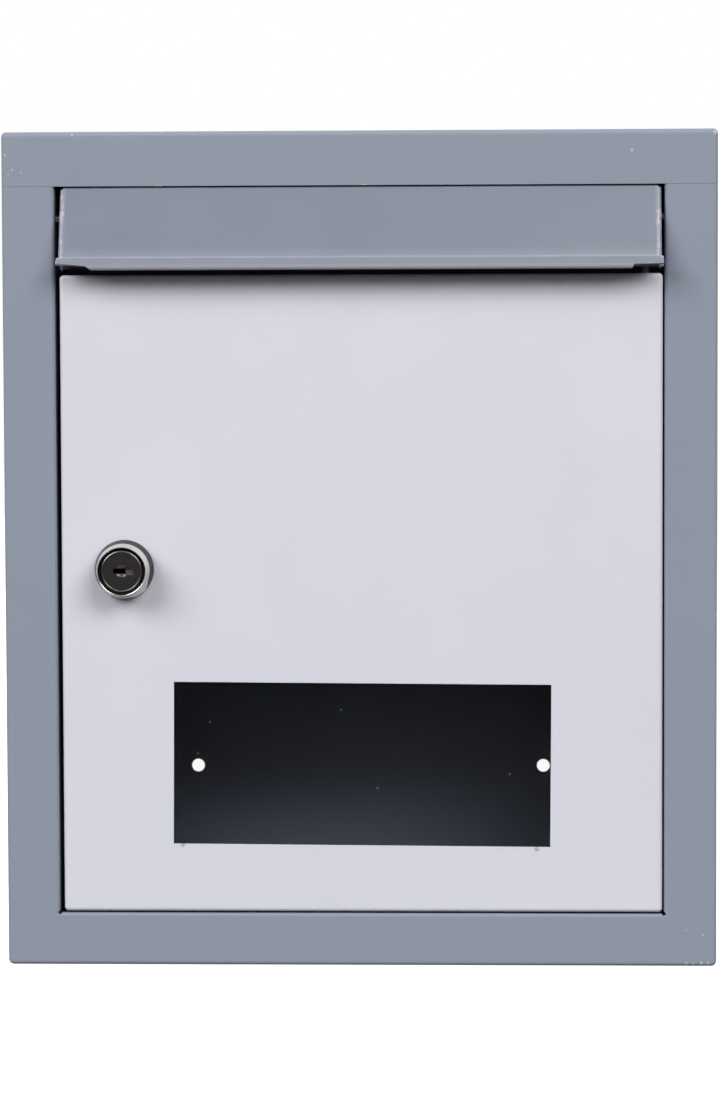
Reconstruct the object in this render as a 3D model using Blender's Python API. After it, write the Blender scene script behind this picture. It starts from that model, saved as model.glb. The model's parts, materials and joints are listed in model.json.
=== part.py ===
"""A wall-hung metal suggestion box: a folded steel casing with a framed front, a sloping
letter flap on two side pins, a white door with a clear window, and a quarter-turn cam lock.

Lengths are metres, +Z is up and -Y is the front. The origin is the middle of the
underside, halfway between the flap's lip and the back of the casing.
"""

import math

import bmesh
import bpy
from mathutils import Matrix, Vector

# Clearances: between parts that are welded or screwed together, and between parts that turn
FIT_GAP = 0.0003
RUNNING_GAP = 0.00015
CUT_OVERRUN = 0.002
MERGE_DISTANCE = 0.0000002

# Casing, folded from sheet
CASE_WIDTH = 0.260
CASE_HEIGHT = 0.305
CASE_DEPTH = 0.100
CASE_SHEET = 0.0008
CASE_BEND = 0.0006
CASE_CORNER_RADIUS = 0.0019
CASE_CORNER_RELIEF = 0.0007
CAP_BEND = 0.0010
FRAME_BORDER = 0.0192
TOP_BORDER = 0.0198
JAMB_DEPTH = 0.014
JOGGLE_HEIGHT = 0.0025
JOGGLE_TAB_HEIGHT = 0.014
JOGGLE_TAB_SETBACK = 0.018

# Back panel, a shallow pan let in between the walls
BACK_SHEET = 0.0008
BACK_FLANGE = 0.012
WALL_HOLE_RADIUS = 0.0025
WALL_HOLE_SPACING = 0.135
WALL_HOLE_INSET = 0.062

# Cross rail under the letter slot
SLOT_HEIGHT = 0.0322
SILL_SHEET = 0.0008
SILL_DROP = 0.012
SILL_SETBACK = 0.0055
SILL_TONGUE_WIDTH = 0.014
SILL_TONGUE_SETBACK = 0.0006
SILL_WING_DEPTH = 0.010

# Door, a pan with the window and the lock in it
DOOR_SHEET = 0.0008
DOOR_BEND = 0.0006
DOOR_DEPTH = 0.012
DOOR_CORNER_RADIUS = 0.0015
DOOR_LATCH_GAP = 0.0017
DOOR_HINGE_GAP = 0.00065
DOOR_BOTTOM_GAP = 0.0006
DOOR_TOP_GAP = 0.0024
WINDOW_WIDTH = 0.138
WINDOW_HEIGHT = 0.0596
WINDOW_RISE = 0.0245
WINDOW_TILT = math.radians(0.45)
PANE_THICKNESS = 0.002
PANE_LAP = 0.006
CHANNEL_SHEET = 0.0007
CHANNEL_FOOT = 0.009
CHANNEL_LIP = 0.005
CHANNEL_BEND = 0.0003

# Door pivots, two headed pins near the hinge edge
PIVOT_RADIUS = 0.0014
PIVOT_INSET = 0.00635
PIVOT_DEPTH = 0.0032
PIVOT_HEAD_RADIUS = 0.0020
PIVOT_HEAD_HEIGHT = 0.0008
PIVOT_REACH = 0.006
PIVOT_COLLAR_RADIUS = 0.0021

# Letter flap, a sloping plate with a flared lip
FLAP_SHEET = 0.0008
FLAP_BEND = 0.0004
FLAP_SLOPE = math.radians(20.0)
FLAP_LIP_SLOPE = math.radians(55.0)
FLAP_STOP_GAP = 0.0003
FLAP_TUCK = 0.004
FLAP_LEFT_GAP = 0.0022
FLAP_RIGHT_GAP = 0.0013
FLAP_LIP_RISE = 0.0045
FLAP_LIP_CLEARANCE = 0.0017
FLAP_RETURN = 0.006
FLAP_RELIEF = 0.0100
FLAP_EAR_DEPTH = 0.011
FLAP_EAR_TOP = 0.001
FLAP_EAR_FOOT = 0.0012
FLAP_FLARE = 0.0006
FLAP_CLIP = 0.0012

# Flap pins, riveted to the flap's ears and turning in the jambs
FLAP_PIN_DROP = 0.0116
FLAP_PIN_DEPTH = 0.0048
FLAP_PIN_RADIUS = 0.00125
FLAP_PIN_HEAD_RADIUS = 0.0024
FLAP_PIN_HEAD_HEIGHT = 0.0008
FLAP_PIN_TAIL = 0.0018
PUSH_NUT_RADIUS = 0.0034
PUSH_NUT_SHEET = 0.0006

# Cam lock; depths along its axis are counted from the door's front face
LOCK_INSET = 0.0231
LOCK_RISE = 0.1260
LOCK_HEAD_RADIUS = 0.0108
LOCK_HEAD_HEIGHT = 0.012
LOCK_HEAD_SKIRT = 0.0012
LOCK_NECK_RADIUS = 0.00975
LOCK_NECK_DEPTH = 0.0056
LOCK_DISH_RADIUS = 0.0086
LOCK_DISH_DEPTH = 0.0012
LOCK_RIM_ROUND = 0.0003
LOCK_BARREL_RADIUS = 0.0093
LOCK_BARREL_LENGTH = 0.0132
LOCK_FLATS = 0.016
LOCK_NUT_ACROSS_FLATS = 0.024
LOCK_NUT_HEIGHT = 0.004
PLUG_RADIUS = 0.0065
PLUG_FACE_RADIUS = 0.0075
PLUG_FACE_HEIGHT = 0.0012
PLUG_RIM_HEIGHT = 0.0005
PLUG_RIM_WIDTH = 0.0006
PLUG_FACE_STAND = 0.0002
TANG_SIZE = 0.0062
TANG_LENGTH = 0.0030
KEYWAY_LEFT = 0.0031
KEYWAY_RIGHT = 0.0045
KEYWAY_STEP = 0.0013
KEYWAY_HEIGHT = 0.0017
KEYWAY_STEP_HEIGHT = 0.0028
KEYWAY_DEPTH = 0.0125
KEYWAY_DIMPLE_RADIUS = 0.00245
KEYWAY_DIMPLE_DEPTH = 0.0006
WAFER_COUNT = 5
WAFER_THICKNESS = 0.0008
WAFER_PITCH = 0.0020
WAFER_START = 0.0008
WAFER_HEIGHT = 0.0060
WAFER_WINDOW_MARGIN = 0.0003
WAFER_GROOVE_DEPTH = 0.0008
STOP_WASHER_RADIUS = 0.0082
STOP_WASHER_SHEET = 0.0008
STOP_LUG_HALF_ANGLE = math.radians(10.0)
STOP_SLACK_ANGLE = math.radians(3.0)
LOCK_TURN = math.radians(90.0)
CAM_THICKNESS = 0.002
CAM_HUB_RADIUS = 0.0080
CAM_LENGTH = 0.033
CAM_WIDTH = 0.013
CAM_TIP_RADIUS = 0.004
SCREW_RADIUS = 0.0019
SCREW_LENGTH = 0.008
SCREW_HEAD_RADIUS = 0.0040
SCREW_HEAD_HEIGHT = 0.0024
SCREW_SLOT_WIDTH = 0.0010
SCREW_SLOT_DEPTH = 0.0011
SPRING_WASHER_RADIUS = 0.0036
SPRING_WASHER_HEIGHT = 0.0007

# Facets on round shapes
BEND_STEPS = 4
ROUND_SIDES = 32
SMALL_ROUND_SIDES = 20
SMOOTH_ANGLE = math.radians(32.0)

# Places worked out from the sizes above
OPENING_HALF = CASE_WIDTH / 2 - FRAME_BORDER
OPENING_TOP = CASE_HEIGHT - TOP_BORDER
DOOR_LEFT = -OPENING_HALF + DOOR_LATCH_GAP
DOOR_RIGHT = OPENING_HALF - DOOR_HINGE_GAP
DOOR_BOTTOM = FRAME_BORDER + DOOR_BOTTOM_GAP
DOOR_TOP = OPENING_TOP - SLOT_HEIGHT
DOOR_MIDDLE = (DOOR_LEFT + DOOR_RIGHT) / 2
SILL_TOP = DOOR_TOP + DOOR_TOP_GAP + SILL_SHEET
SILL_BACK = JAMB_DEPTH + FIT_GAP + SILL_SHEET
FLAP_LEFT = -OPENING_HALF + FLAP_LEFT_GAP
FLAP_RIGHT = OPENING_HALF - FLAP_RIGHT_GAP
FLAP_FOOT = DOOR_TOP + FLAP_LIP_CLEARANCE
PIVOT_X = DOOR_RIGHT - PIVOT_INSET
FLAP_PIN_Z = OPENING_TOP - FLAP_PIN_DROP
WINDOW_FOOT = DOOR_BOTTOM + WINDOW_RISE
LOCK_X = DOOR_LEFT + LOCK_INSET
LOCK_Z = DOOR_BOTTOM + LOCK_RISE


def bent_stations(path, sheet, inner_radius, steps=BEND_STEPS):
    """Points along the outer line of a folded strip, each with the direction of its thickness.

    The strip's thickness lies to the left of the path, and each inner corner is rounded."""
    stations = []
    for i, corner in enumerate(path):
        before = (corner - path[i - 1]).normalized() if i else None
        after = (path[i + 1] - corner).normalized() if i + 1 < len(path) else None
        if before is None or after is None:
            along = after or before
            stations.append((corner, Vector((-along.y, along.x))))
            continue
        turn = math.atan2(before.cross(after), before.dot(after))
        side = math.copysign(1, turn)
        radius = inner_radius + (sheet if side > 0 else 0)
        normal = Vector((-before.y, before.x))
        centre = corner - before * radius * math.tan(abs(turn) / 2) + normal * side * radius
        for step in range(steps + 1):
            left = normal.copy()
            left.rotate(Matrix.Rotation(turn * step / steps, 2))
            stations.append((centre - left * side * radius, left))
    return stations


def strip_outline(path, sheet, inner_radius):
    """Closed outline of a folded strip's section."""
    stations = bent_stations(path, sheet, inner_radius)
    return [p for p, _ in stations] + [p + n * sheet for p, n in reversed(stations)]


def rim_stations(corners, inwards, radius, closed):
    """Stations round a rectangular rim: (anchor, outward, inward) for each.

    inwards[i] points in from the side that leaves corner i. An open rim has plain ends."""
    stations = []
    count = len(corners)
    for i, corner in enumerate(corners):
        if not closed and i in (0, count - 1):
            inward = inwards[min(i, count - 2)]
            stations.append((corner + inward * radius, -inward, inward))
            continue
        first, second = inwards[i - 1], inwards[i]
        anchor = corner + (first + second) * radius
        for step in range(BEND_STEPS + 1):
            angle = math.pi / 2 * step / BEND_STEPS
            outward = -first * math.cos(angle) - second * math.sin(angle)
            stations.append((anchor, outward, first + second))
    return stations


def rim_point(station, inset, radius):
    """Point that lies inset from the outer edge at one station of a rim."""
    anchor, outward, inward = station
    if inset < radius:
        return anchor + outward * (radius - inset)
    return anchor + inward * (inset - radius)


def mesh_from(bm, name):
    """Mesh of a finished bmesh, with doubles merged and faces pointing out."""
    bmesh.ops.remove_doubles(bm, verts=bm.verts, dist=MERGE_DISTANCE)
    bmesh.ops.recalc_face_normals(bm, faces=bm.faces)
    mesh = bpy.data.meshes.new(name)
    bm.to_mesh(mesh)
    bm.free()
    return mesh


def rim_mesh(name, stations, section, radius, place, closed, plate):
    """Sweeps a section, points of (inset, depth), round a rim.

    With plate, the section is an open chain whose two ends carry a flat plate across the
    middle. Without it, the section is a closed outline. place maps (a, b, depth) to a point."""
    bm = bmesh.new()
    rings = []
    for station in stations:
        spots = [rim_point(station, inset, radius) for inset, _ in section]
        rings.append([bm.verts.new(place(s.x, s.y, d)) for s, (_, d) in zip(spots, section)])
    sides = len(section) - 1 if plate else len(section)
    for i in range(len(rings) if closed else len(rings) - 1):
        here, there = rings[i], rings[(i + 1) % len(rings)]
        for k in range(sides):
            m = (k + 1) % len(section)
            bm.faces.new((here[k], here[m], there[m], there[k]))
    if plate:
        bm.faces.new([ring[0] for ring in rings])
        bm.faces.new([ring[-1] for ring in reversed(rings)])
    if not closed and plate:
        bm.faces.new(list(reversed(rings[0])) + rings[-1])
    elif not closed:
        bm.faces.new(list(reversed(rings[0])))
        bm.faces.new(rings[-1])
    return mesh_from(bm, name)


def prism_mesh(name, outline, start, end, place):
    """Straight prism of a closed outline, from start to end along the third direction."""
    bm = bmesh.new()
    near = [bm.verts.new(place(p[0], p[1], start)) for p in outline]
    far = [bm.verts.new(place(p[0], p[1], end)) for p in outline]
    bm.faces.new(near)
    bm.faces.new(list(reversed(far)))
    for i in range(len(outline)):
        k = (i + 1) % len(outline)
        bm.faces.new((near[k], near[i], far[i], far[k]))
    return mesh_from(bm, name)


def box_mesh(name, low, high):
    """Plain block between two corners."""
    outline = [(low[0], low[1]), (high[0], low[1]), (high[0], high[1]), (low[0], high[1])]
    return prism_mesh(name, outline, low[2], high[2], lambda a, b, c: (a, b, c))


def turned_mesh(name, profile, sides=ROUND_SIDES):
    """Body of revolution about local Z, from (radius, height) points that close on themselves."""
    bm = bmesh.new()
    rings = []
    for radius, height in profile:
        if radius == 0:
            rings.append([bm.verts.new((0, 0, height))] * sides)
            continue
        angles = [2 * math.pi * i / sides for i in range(sides)]
        rings.append([bm.verts.new((radius * math.cos(a), radius * math.sin(a), height)) for a in angles])
    for i, here in enumerate(rings):
        there = rings[(i + 1) % len(rings)]
        for k in range(sides):
            m = (k + 1) % sides
            spots = list(dict.fromkeys((here[k], here[m], there[m], there[k])))
            if len(spots) > 2:
                bm.faces.new(spots)
    return mesh_from(bm, name)


def rod_mesh(name, radius, start, end, sides=SMALL_ROUND_SIDES):
    """Plain round rod along local Z."""
    return turned_mesh(name, [(0, start), (radius, start), (radius, end), (0, end)], sides)


def grid_sheet_mesh(name, outer, inner, cells):
    """Folded sheet from two grids of points, its faces where cells has (row, column)."""
    bm = bmesh.new()
    skins = []
    for grid in (outer, inner):
        skins.append({key: bm.verts.new(point) for key, point in grid.items()})
    edges = {}
    for row, column in cells:
        corners = [(row, column), (row, column + 1), (row + 1, column + 1), (row + 1, column)]
        bm.faces.new([skins[0][key] for key in corners])
        bm.faces.new([skins[1][key] for key in reversed(corners)])
        for key, after in zip(corners, corners[1:] + corners[:1]):
            edges[frozenset((key, after))] = edges.get(frozenset((key, after)), []) + [(key, after)]
    for uses in edges.values():
        if len(uses) == 1:
            key, after = uses[0]
            bm.faces.new((skins[0][after], skins[0][key], skins[1][key], skins[1][after]))
    bmesh.ops.delete(bm, geom=[v for v in bm.verts if not v.link_faces], context="VERTS")
    return mesh_from(bm, name)


def new_axis(name, location, parent=None, rotation=(0, 0, 0)):
    """Empty that carries the pieces of one moving body, or of one fixed fitting."""
    axis = bpy.data.objects.new(name, None)
    bpy.context.collection.objects.link(axis)
    axis.parent = parent
    axis.location = location
    axis.rotation_euler = rotation
    return axis


def new_piece(name, mesh, material, axis=None, origin=None, location=(0, 0, 0), rotation=(0, 0, 0)):
    """One named part. origin is the point of the mesh that becomes the object's own origin."""
    if origin is not None:
        mesh.transform(Matrix.Translation(-Vector(origin)))
    piece = bpy.data.objects.new(name, mesh)
    bpy.context.collection.objects.link(piece)
    piece.parent = axis
    piece.location = location
    piece.rotation_euler = rotation
    mesh.name = name
    mesh.materials.clear()
    mesh.materials.append(material)
    mesh.shade_smooth()
    mesh.set_sharp_from_angle(angle=SMOOTH_ANGLE)
    return piece


def combine(base, tools, operation="DIFFERENCE"):
    """Mesh left after cutting the tool meshes from the base, or after joining them to it."""
    body = bpy.data.objects.new("body", base)
    bpy.context.collection.objects.link(body)
    helpers = [body]
    for mesh in tools:
        tool = bpy.data.objects.new("tool", mesh)
        bpy.context.collection.objects.link(tool)
        helpers.append(tool)
        modifier = body.modifiers.new("combine", "BOOLEAN")
        modifier.operation = operation
        modifier.object = tool
    bpy.context.view_layer.update()
    result = bpy.data.meshes.new_from_object(body.evaluated_get(bpy.context.evaluated_depsgraph_get()))
    for helper in helpers:
        mesh = helper.data
        bpy.data.objects.remove(helper)
        bpy.data.meshes.remove(mesh)
    return result


def new_material(name, colour, metallic, roughness, alpha=1.0):
    """Principled material with the part's colour, metalness and roughness."""
    material = bpy.data.materials.new(name)
    material.use_nodes = True
    shader = material.node_tree.nodes["Principled BSDF"]
    shader.inputs["Base Color"].default_value = (*colour, 1.0)
    shader.inputs["Metallic"].default_value = metallic
    shader.inputs["Roughness"].default_value = roughness
    shader.inputs["Alpha"].default_value = alpha
    material.diffuse_color = (*colour, alpha)
    return material


def flap_front_path():
    """Outer line of the flap's section as (depth, height), from its top edge to its return."""
    slope = math.tan(FLAP_SLOPE)
    guard = Vector((CASE_SHEET + FLAP_STOP_GAP, OPENING_TOP))
    upward = Vector((math.sin(FLAP_SLOPE), math.cos(FLAP_SLOPE)))
    knee_drop = OPENING_TOP - FLAP_FOOT - FLAP_LIP_RISE
    knee = guard - Vector((knee_drop * slope, knee_drop))
    tip = knee - Vector((FLAP_LIP_RISE * math.tan(FLAP_LIP_SLOPE), FLAP_LIP_RISE))
    lip_turn = math.pi / 2 + FLAP_LIP_SLOPE
    tip_run = (FLAP_BEND + FLAP_SHEET) * math.tan(lip_turn / 2)
    return [guard + upward * FLAP_TUCK, knee, tip, tip + Vector((tip_run + FLAP_RETURN, 0))]


FLAP_STATIONS = bent_stations(flap_front_path(), FLAP_SHEET, FLAP_BEND)
LIP_REACH = -min(point.x for point, _ in FLAP_STATIONS)
FRONT_Y = -(CASE_DEPTH - LIP_REACH) / 2


def from_front(a, b, depth):
    """World point at (a, b) across the front, depth behind the front plane."""
    return (a, FRONT_Y + depth, b)


def across(depth, height, x):
    """World point of a section drawn as (depth, height), at one x."""
    return (x, FRONT_Y + depth, height)


def rectangle(left, bottom, right, top):
    """Corners and inward normals of a rectangle, anticlockwise from the lower left."""
    corners = [Vector((left, bottom)), Vector((right, bottom)), Vector((right, top)), Vector((left, top))]
    inwards = [Vector((0, 1)), Vector((-1, 0)), Vector((0, -1)), Vector((1, 0))]
    return corners, inwards


def flanged_section(sheet, bend, flange):
    """Chain of (inset, depth) from the plate's outer skin, over the flange, to its inner skin."""
    land = 2 * (sheet + bend)
    stations = bent_stations([Vector((0, flange)), Vector((0, 0)), Vector((land, 0))], sheet, bend)
    return [p for p, _ in reversed(stations)] + [p + n * sheet for p, n in stations]


def build_casing_wrap(material):
    """Left wall, floor and right wall in one, with the front frame and its turned-in jambs."""
    half = CASE_WIDTH / 2
    end = OPENING_TOP - FIT_GAP
    corners = [Vector((-half, end)), Vector((-half, 0)), Vector((half, 0)), Vector((half, end))]
    inwards = [Vector((1, 0)), Vector((0, 1)), Vector((-1, 0))]
    stations = rim_stations(corners, inwards, CASE_CORNER_RADIUS, closed=False)
    path = [
        Vector((0, CASE_DEPTH)),
        Vector((0, 0)),
        Vector((FRAME_BORDER, 0)),
        Vector((FRAME_BORDER, JAMB_DEPTH)),
    ]
    outline = strip_outline(path, CASE_SHEET, CASE_BEND)
    wrap = rim_mesh("wrap", stations, outline, CASE_CORNER_RADIUS, from_front, closed=False, plate=False)

    # A tab joggled inwards by one sheet lets each side wall run up inside the top cap
    tab_outer = half - CASE_SHEET - FIT_GAP
    tab_front = FRONT_Y + JOGGLE_TAB_SETBACK
    tab_back = FRONT_Y + CASE_DEPTH - JOGGLE_TAB_SETBACK
    tabs = []
    for side in (-1, 1):
        section = [
            (half - CASE_SHEET / 2, end - JOGGLE_HEIGHT),
            (half - CASE_SHEET / 2, end - CASE_SHEET / 2),
            (tab_outer, end),
            (tab_outer, end + JOGGLE_TAB_HEIGHT),
            (tab_outer - CASE_SHEET, end + JOGGLE_TAB_HEIGHT),
            (tab_outer - CASE_SHEET, end - JOGGLE_HEIGHT / 2),
        ]
        outline = [(side * x, z) for x, z in section]
        tabs.append(prism_mesh("tab", outline, tab_front, tab_back, lambda a, b, c: (a, c, b)))
    wrap = combine(wrap, tabs, "UNION")

    # The jambs stop short of each other at a small relief in both lower corners of the opening
    cutters = []
    for side in (-1, 1):
        start, stop = -JAMB_DEPTH - CUT_OVERRUN, CUT_OVERRUN
        cutter = rod_mesh("relief", CASE_CORNER_RELIEF, start, stop)
        cutter.transform(Matrix.Rotation(math.pi / 2, 4, "X"))
        cutter.transform(Matrix.Translation((side * OPENING_HALF, FRONT_Y, FRAME_BORDER)))
        cutters.append(cutter)

    # Holes for the flap's pins in both jambs and for the door's lower pivot in the floor's jamb
    pin_hole = FLAP_PIN_RADIUS + RUNNING_GAP
    for side in (-1, 1):
        inner = side * (OPENING_HALF - CUT_OVERRUN)
        outer = side * (OPENING_HALF + CASE_SHEET + CUT_OVERRUN)
        cutter = rod_mesh("cutter", pin_hole, min(inner, outer), max(inner, outer))
        cutter.transform(Matrix.Rotation(math.pi / 2, 4, "Y"))
        cutter.transform(Matrix.Translation((0, FRONT_Y + FLAP_PIN_DEPTH, FLAP_PIN_Z)))
        cutters.append(cutter)
    pivot_hole = PIVOT_RADIUS + RUNNING_GAP
    start, stop = FRAME_BORDER - CASE_SHEET - CUT_OVERRUN, FRAME_BORDER + CUT_OVERRUN
    cutter = rod_mesh("cutter", pivot_hole, start, stop)
    cutter.transform(Matrix.Translation((PIVOT_X, FRONT_Y + PIVOT_DEPTH, 0)))
    cutters.append(cutter)
    new_piece("casing_wrap", combine(wrap, cutters), material, origin=(0, 0, 0))


def build_top_cap(material):
    """Roof with a front flange that makes the frame's top member, and two side skirts."""
    half = CASE_WIDTH / 2
    back = FRONT_Y + CASE_DEPTH
    ends = [(-half, back), (-half, FRONT_Y), (half, FRONT_Y), (half, back)]
    corners = [Vector(end) for end in ends]
    inwards = [Vector((1, 0)), Vector((0, 1)), Vector((-1, 0))]
    radius = CASE_BEND + CASE_SHEET
    stations = rim_stations(corners, inwards, radius, closed=False)
    section = flanged_section(CASE_SHEET, CAP_BEND, TOP_BORDER)
    cap = rim_mesh(
        "cap",
        stations,
        section,
        radius,
        lambda a, b, depth: (a, b, CASE_HEIGHT - depth),
        closed=False,
        plate=True,
    )
    new_piece("top_cap", cap, material, origin=(0, 0, CASE_HEIGHT), location=(0, 0, CASE_HEIGHT))


def build_back_panel(material):
    """Back pan with its flanges turned forwards inside the walls, and four wall holes."""
    side = CASE_WIDTH / 2 - CASE_SHEET - FIT_GAP
    foot = CASE_SHEET + FIT_GAP
    corners, inwards = rectangle(-side, foot, side, CASE_HEIGHT - foot)
    radius = CASE_BEND + BACK_SHEET
    stations = rim_stations(corners, inwards, radius, closed=True)
    section = flanged_section(BACK_SHEET, CASE_BEND, BACK_FLANGE)
    back = FRONT_Y + CASE_DEPTH
    pan = rim_mesh(
        "pan",
        stations,
        section,
        radius,
        lambda a, b, depth: (a, back - depth, b),
        closed=True,
        plate=True,
    )
    cutters = []
    for x in (-WALL_HOLE_SPACING / 2, WALL_HOLE_SPACING / 2):
        for z in (WALL_HOLE_INSET, CASE_HEIGHT - WALL_HOLE_INSET):
            cutter = rod_mesh("cutter", WALL_HOLE_RADIUS, -BACK_SHEET - CUT_OVERRUN, CUT_OVERRUN)
            cutter.transform(Matrix.Rotation(-math.pi / 2, 4, "X"))
            cutter.transform(Matrix.Translation((x, back, z)))
            cutters.append(cutter)
    origin = (0, back, CASE_HEIGHT / 2)
    new_piece("back_panel", combine(pan, cutters), material, origin=origin, location=origin)


def build_slot_sill(material):
    """Cross rail: a shelf over the door's top edge, a drop behind it, and wings to the walls.

    Only a tongue at the hinge end comes forward, for the door's upper pivot."""
    reach = OPENING_HALF - FIT_GAP
    foot = SILL_TOP - SILL_DROP
    path = [(SILL_BACK, foot), (SILL_BACK, SILL_TOP), (SILL_TONGUE_SETBACK, SILL_TOP)]
    outline = strip_outline([Vector(p) for p in path], SILL_SHEET, CASE_BEND)
    shelf = prism_mesh("shelf", outline, -reach, reach, across)
    wall = CASE_WIDTH / 2 - CASE_SHEET - FIT_GAP
    wing_top = SILL_TOP - SILL_SHEET - CASE_BEND
    wings = []
    front = SILL_BACK - SILL_SHEET
    path = [(reach - CUT_OVERRUN, front), (wall, front), (wall, SILL_BACK + SILL_WING_DEPTH)]
    right = strip_outline([Vector(p) for p in path], SILL_SHEET, CASE_BEND)
    left = [Vector((-p.x, p.y)) for p in right]
    for outline in (left, right):
        wings.append(prism_mesh("wing", outline, foot, wing_top, lambda a, b, c: (a, FRONT_Y + b, c)))
    sill = combine(shelf, wings, "UNION")
    start, stop = SILL_TOP - SILL_SHEET - CUT_OVERRUN, SILL_TOP + CUT_OVERRUN
    cutter = rod_mesh("cutter", PIVOT_RADIUS + RUNNING_GAP, start, stop)
    cutter.transform(Matrix.Translation((PIVOT_X, FRONT_Y + PIVOT_DEPTH, 0)))
    recess = box_mesh(
        "recess",
        (-reach - CUT_OVERRUN, FRONT_Y - CUT_OVERRUN, start),
        (reach - SILL_TONGUE_WIDTH, FRONT_Y + SILL_SETBACK, stop),
    )
    origin = (0, FRONT_Y + SILL_BACK, SILL_TOP)
    new_piece("slot_sill", combine(sill, [cutter, recess]), material, origin=origin, location=origin)


def build_door_pivots(material):
    """Headed pins: the upper one drops through the cross rail, the lower one carries the door."""
    upper = [
        (0, -PIVOT_REACH - SILL_SHEET),
        (PIVOT_RADIUS, -PIVOT_REACH - SILL_SHEET),
        (PIVOT_RADIUS, FIT_GAP),
        (PIVOT_HEAD_RADIUS, FIT_GAP),
        (PIVOT_HEAD_RADIUS, FIT_GAP + PIVOT_HEAD_HEIGHT),
        (0, FIT_GAP + PIVOT_HEAD_HEIGHT),
    ]
    y = FRONT_Y + PIVOT_DEPTH
    mesh = turned_mesh("pivot", upper, SMALL_ROUND_SIDES)
    new_piece("door_pivot_upper", mesh, material, location=(PIVOT_X, y, SILL_TOP))
    collar_foot = FIT_GAP / 2
    collar_top = DOOR_BOTTOM_GAP - FIT_GAP / 2
    head_top = -CASE_SHEET - FIT_GAP
    lower = [
        (0, head_top - PIVOT_HEAD_HEIGHT),
        (PIVOT_HEAD_RADIUS, head_top - PIVOT_HEAD_HEIGHT),
        (PIVOT_HEAD_RADIUS, head_top),
        (PIVOT_RADIUS, head_top),
        (PIVOT_RADIUS, collar_foot),
        (PIVOT_COLLAR_RADIUS, collar_foot),
        (PIVOT_COLLAR_RADIUS, collar_top),
        (PIVOT_RADIUS, collar_top),
        (PIVOT_RADIUS, PIVOT_REACH),
        (0, PIVOT_REACH),
    ]
    mesh = turned_mesh("pivot", lower, SMALL_ROUND_SIDES)
    new_piece("door_pivot_lower", mesh, material, location=(PIVOT_X, y, FRAME_BORDER))


def double_d(radius, flats, sides=ROUND_SIDES):
    """Outline of a circle with two flats, above and below."""
    limit = flats / 2
    points = []
    for i in range(sides):
        angle = 2 * math.pi * (i + 1 / 2) / sides
        height = max(-limit, min(limit, radius * math.sin(angle)))
        points.append((radius * math.cos(angle), height))
    return points


def build_door_panel(material, axis, origin):
    """Door pan, cut for the window, the lock and the two pivots."""
    corners, inwards = rectangle(DOOR_LEFT, DOOR_BOTTOM, DOOR_RIGHT, DOOR_TOP)
    stations = rim_stations(corners, inwards, DOOR_CORNER_RADIUS, closed=True)
    section = flanged_section(DOOR_SHEET, DOOR_BEND, DOOR_DEPTH)
    pan = rim_mesh("pan", stations, section, DOOR_CORNER_RADIUS, from_front, closed=True, plate=True)
    half = WINDOW_WIDTH / 2
    window = box_mesh(
        "window",
        (DOOR_MIDDLE - half, FRONT_Y - CUT_OVERRUN, WINDOW_FOOT),
        (DOOR_MIDDLE + half, FRONT_Y + DOOR_SHEET + CUT_OVERRUN, WINDOW_FOOT + WINDOW_HEIGHT),
    )
    middle = Matrix.Translation((DOOR_MIDDLE, 0, WINDOW_FOOT + WINDOW_HEIGHT / 2))
    window.transform(middle @ Matrix.Rotation(WINDOW_TILT, 4, "Y") @ middle.inverted())
    hole = double_d(LOCK_BARREL_RADIUS + FIT_GAP, LOCK_FLATS + 2 * FIT_GAP)
    hole = [(LOCK_X + a, LOCK_Z + b) for a, b in hole]
    lock_hole = prism_mesh("hole", hole, -CUT_OVERRUN, DOOR_SHEET + CUT_OVERRUN, from_front)
    cutters = [window, lock_hole]
    for z in (DOOR_BOTTOM + DOOR_SHEET / 2, DOOR_TOP - DOOR_SHEET / 2):
        cutter = rod_mesh("cutter", PIVOT_RADIUS + RUNNING_GAP, z - CUT_OVERRUN, z + CUT_OVERRUN)
        cutter.transform(Matrix.Translation((PIVOT_X, FRONT_Y + PIVOT_DEPTH, 0)))
        cutters.append(cutter)
    new_piece("door_panel", combine(pan, cutters), material, axis, origin)


def build_window(pane_material, channel_material, axis, origin):
    """Clear pane behind the cut-out, held by two folded channels."""
    left = DOOR_MIDDLE - WINDOW_WIDTH / 2 - PANE_LAP
    right = DOOR_MIDDLE + WINDOW_WIDTH / 2 + PANE_LAP
    foot = WINDOW_FOOT - PANE_LAP
    head = WINDOW_FOOT + WINDOW_HEIGHT + PANE_LAP
    front = DOOR_SHEET + FIT_GAP
    pane = box_mesh("pane", (left, FRONT_Y + front, foot), (right, FRONT_Y + front + PANE_THICKNESS, head))
    new_piece("window_pane", pane, pane_material, axis, origin)

    # Each channel steps back round one edge of the pane; the upper one is the lower one mirrored
    edge = foot - FIT_GAP
    near = front + CHANNEL_SHEET
    back = front + PANE_THICKNESS + FIT_GAP + CHANNEL_SHEET
    path = [
        Vector((near, edge - CHANNEL_FOOT)),
        Vector((near, edge - CHANNEL_SHEET)),
        Vector((back, edge - CHANNEL_SHEET)),
        Vector((back, edge + CHANNEL_LIP)),
    ]
    lower = strip_outline(path, CHANNEL_SHEET, CHANNEL_BEND)
    upper = [Vector((p.x, foot + head - p.y)) for p in lower]
    for name, outline in (("pane_channel_lower", lower), ("pane_channel_upper", upper)):
        channel = prism_mesh("channel", outline, left, right, across)
        new_piece(name, channel, channel_material, axis, origin)


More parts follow.
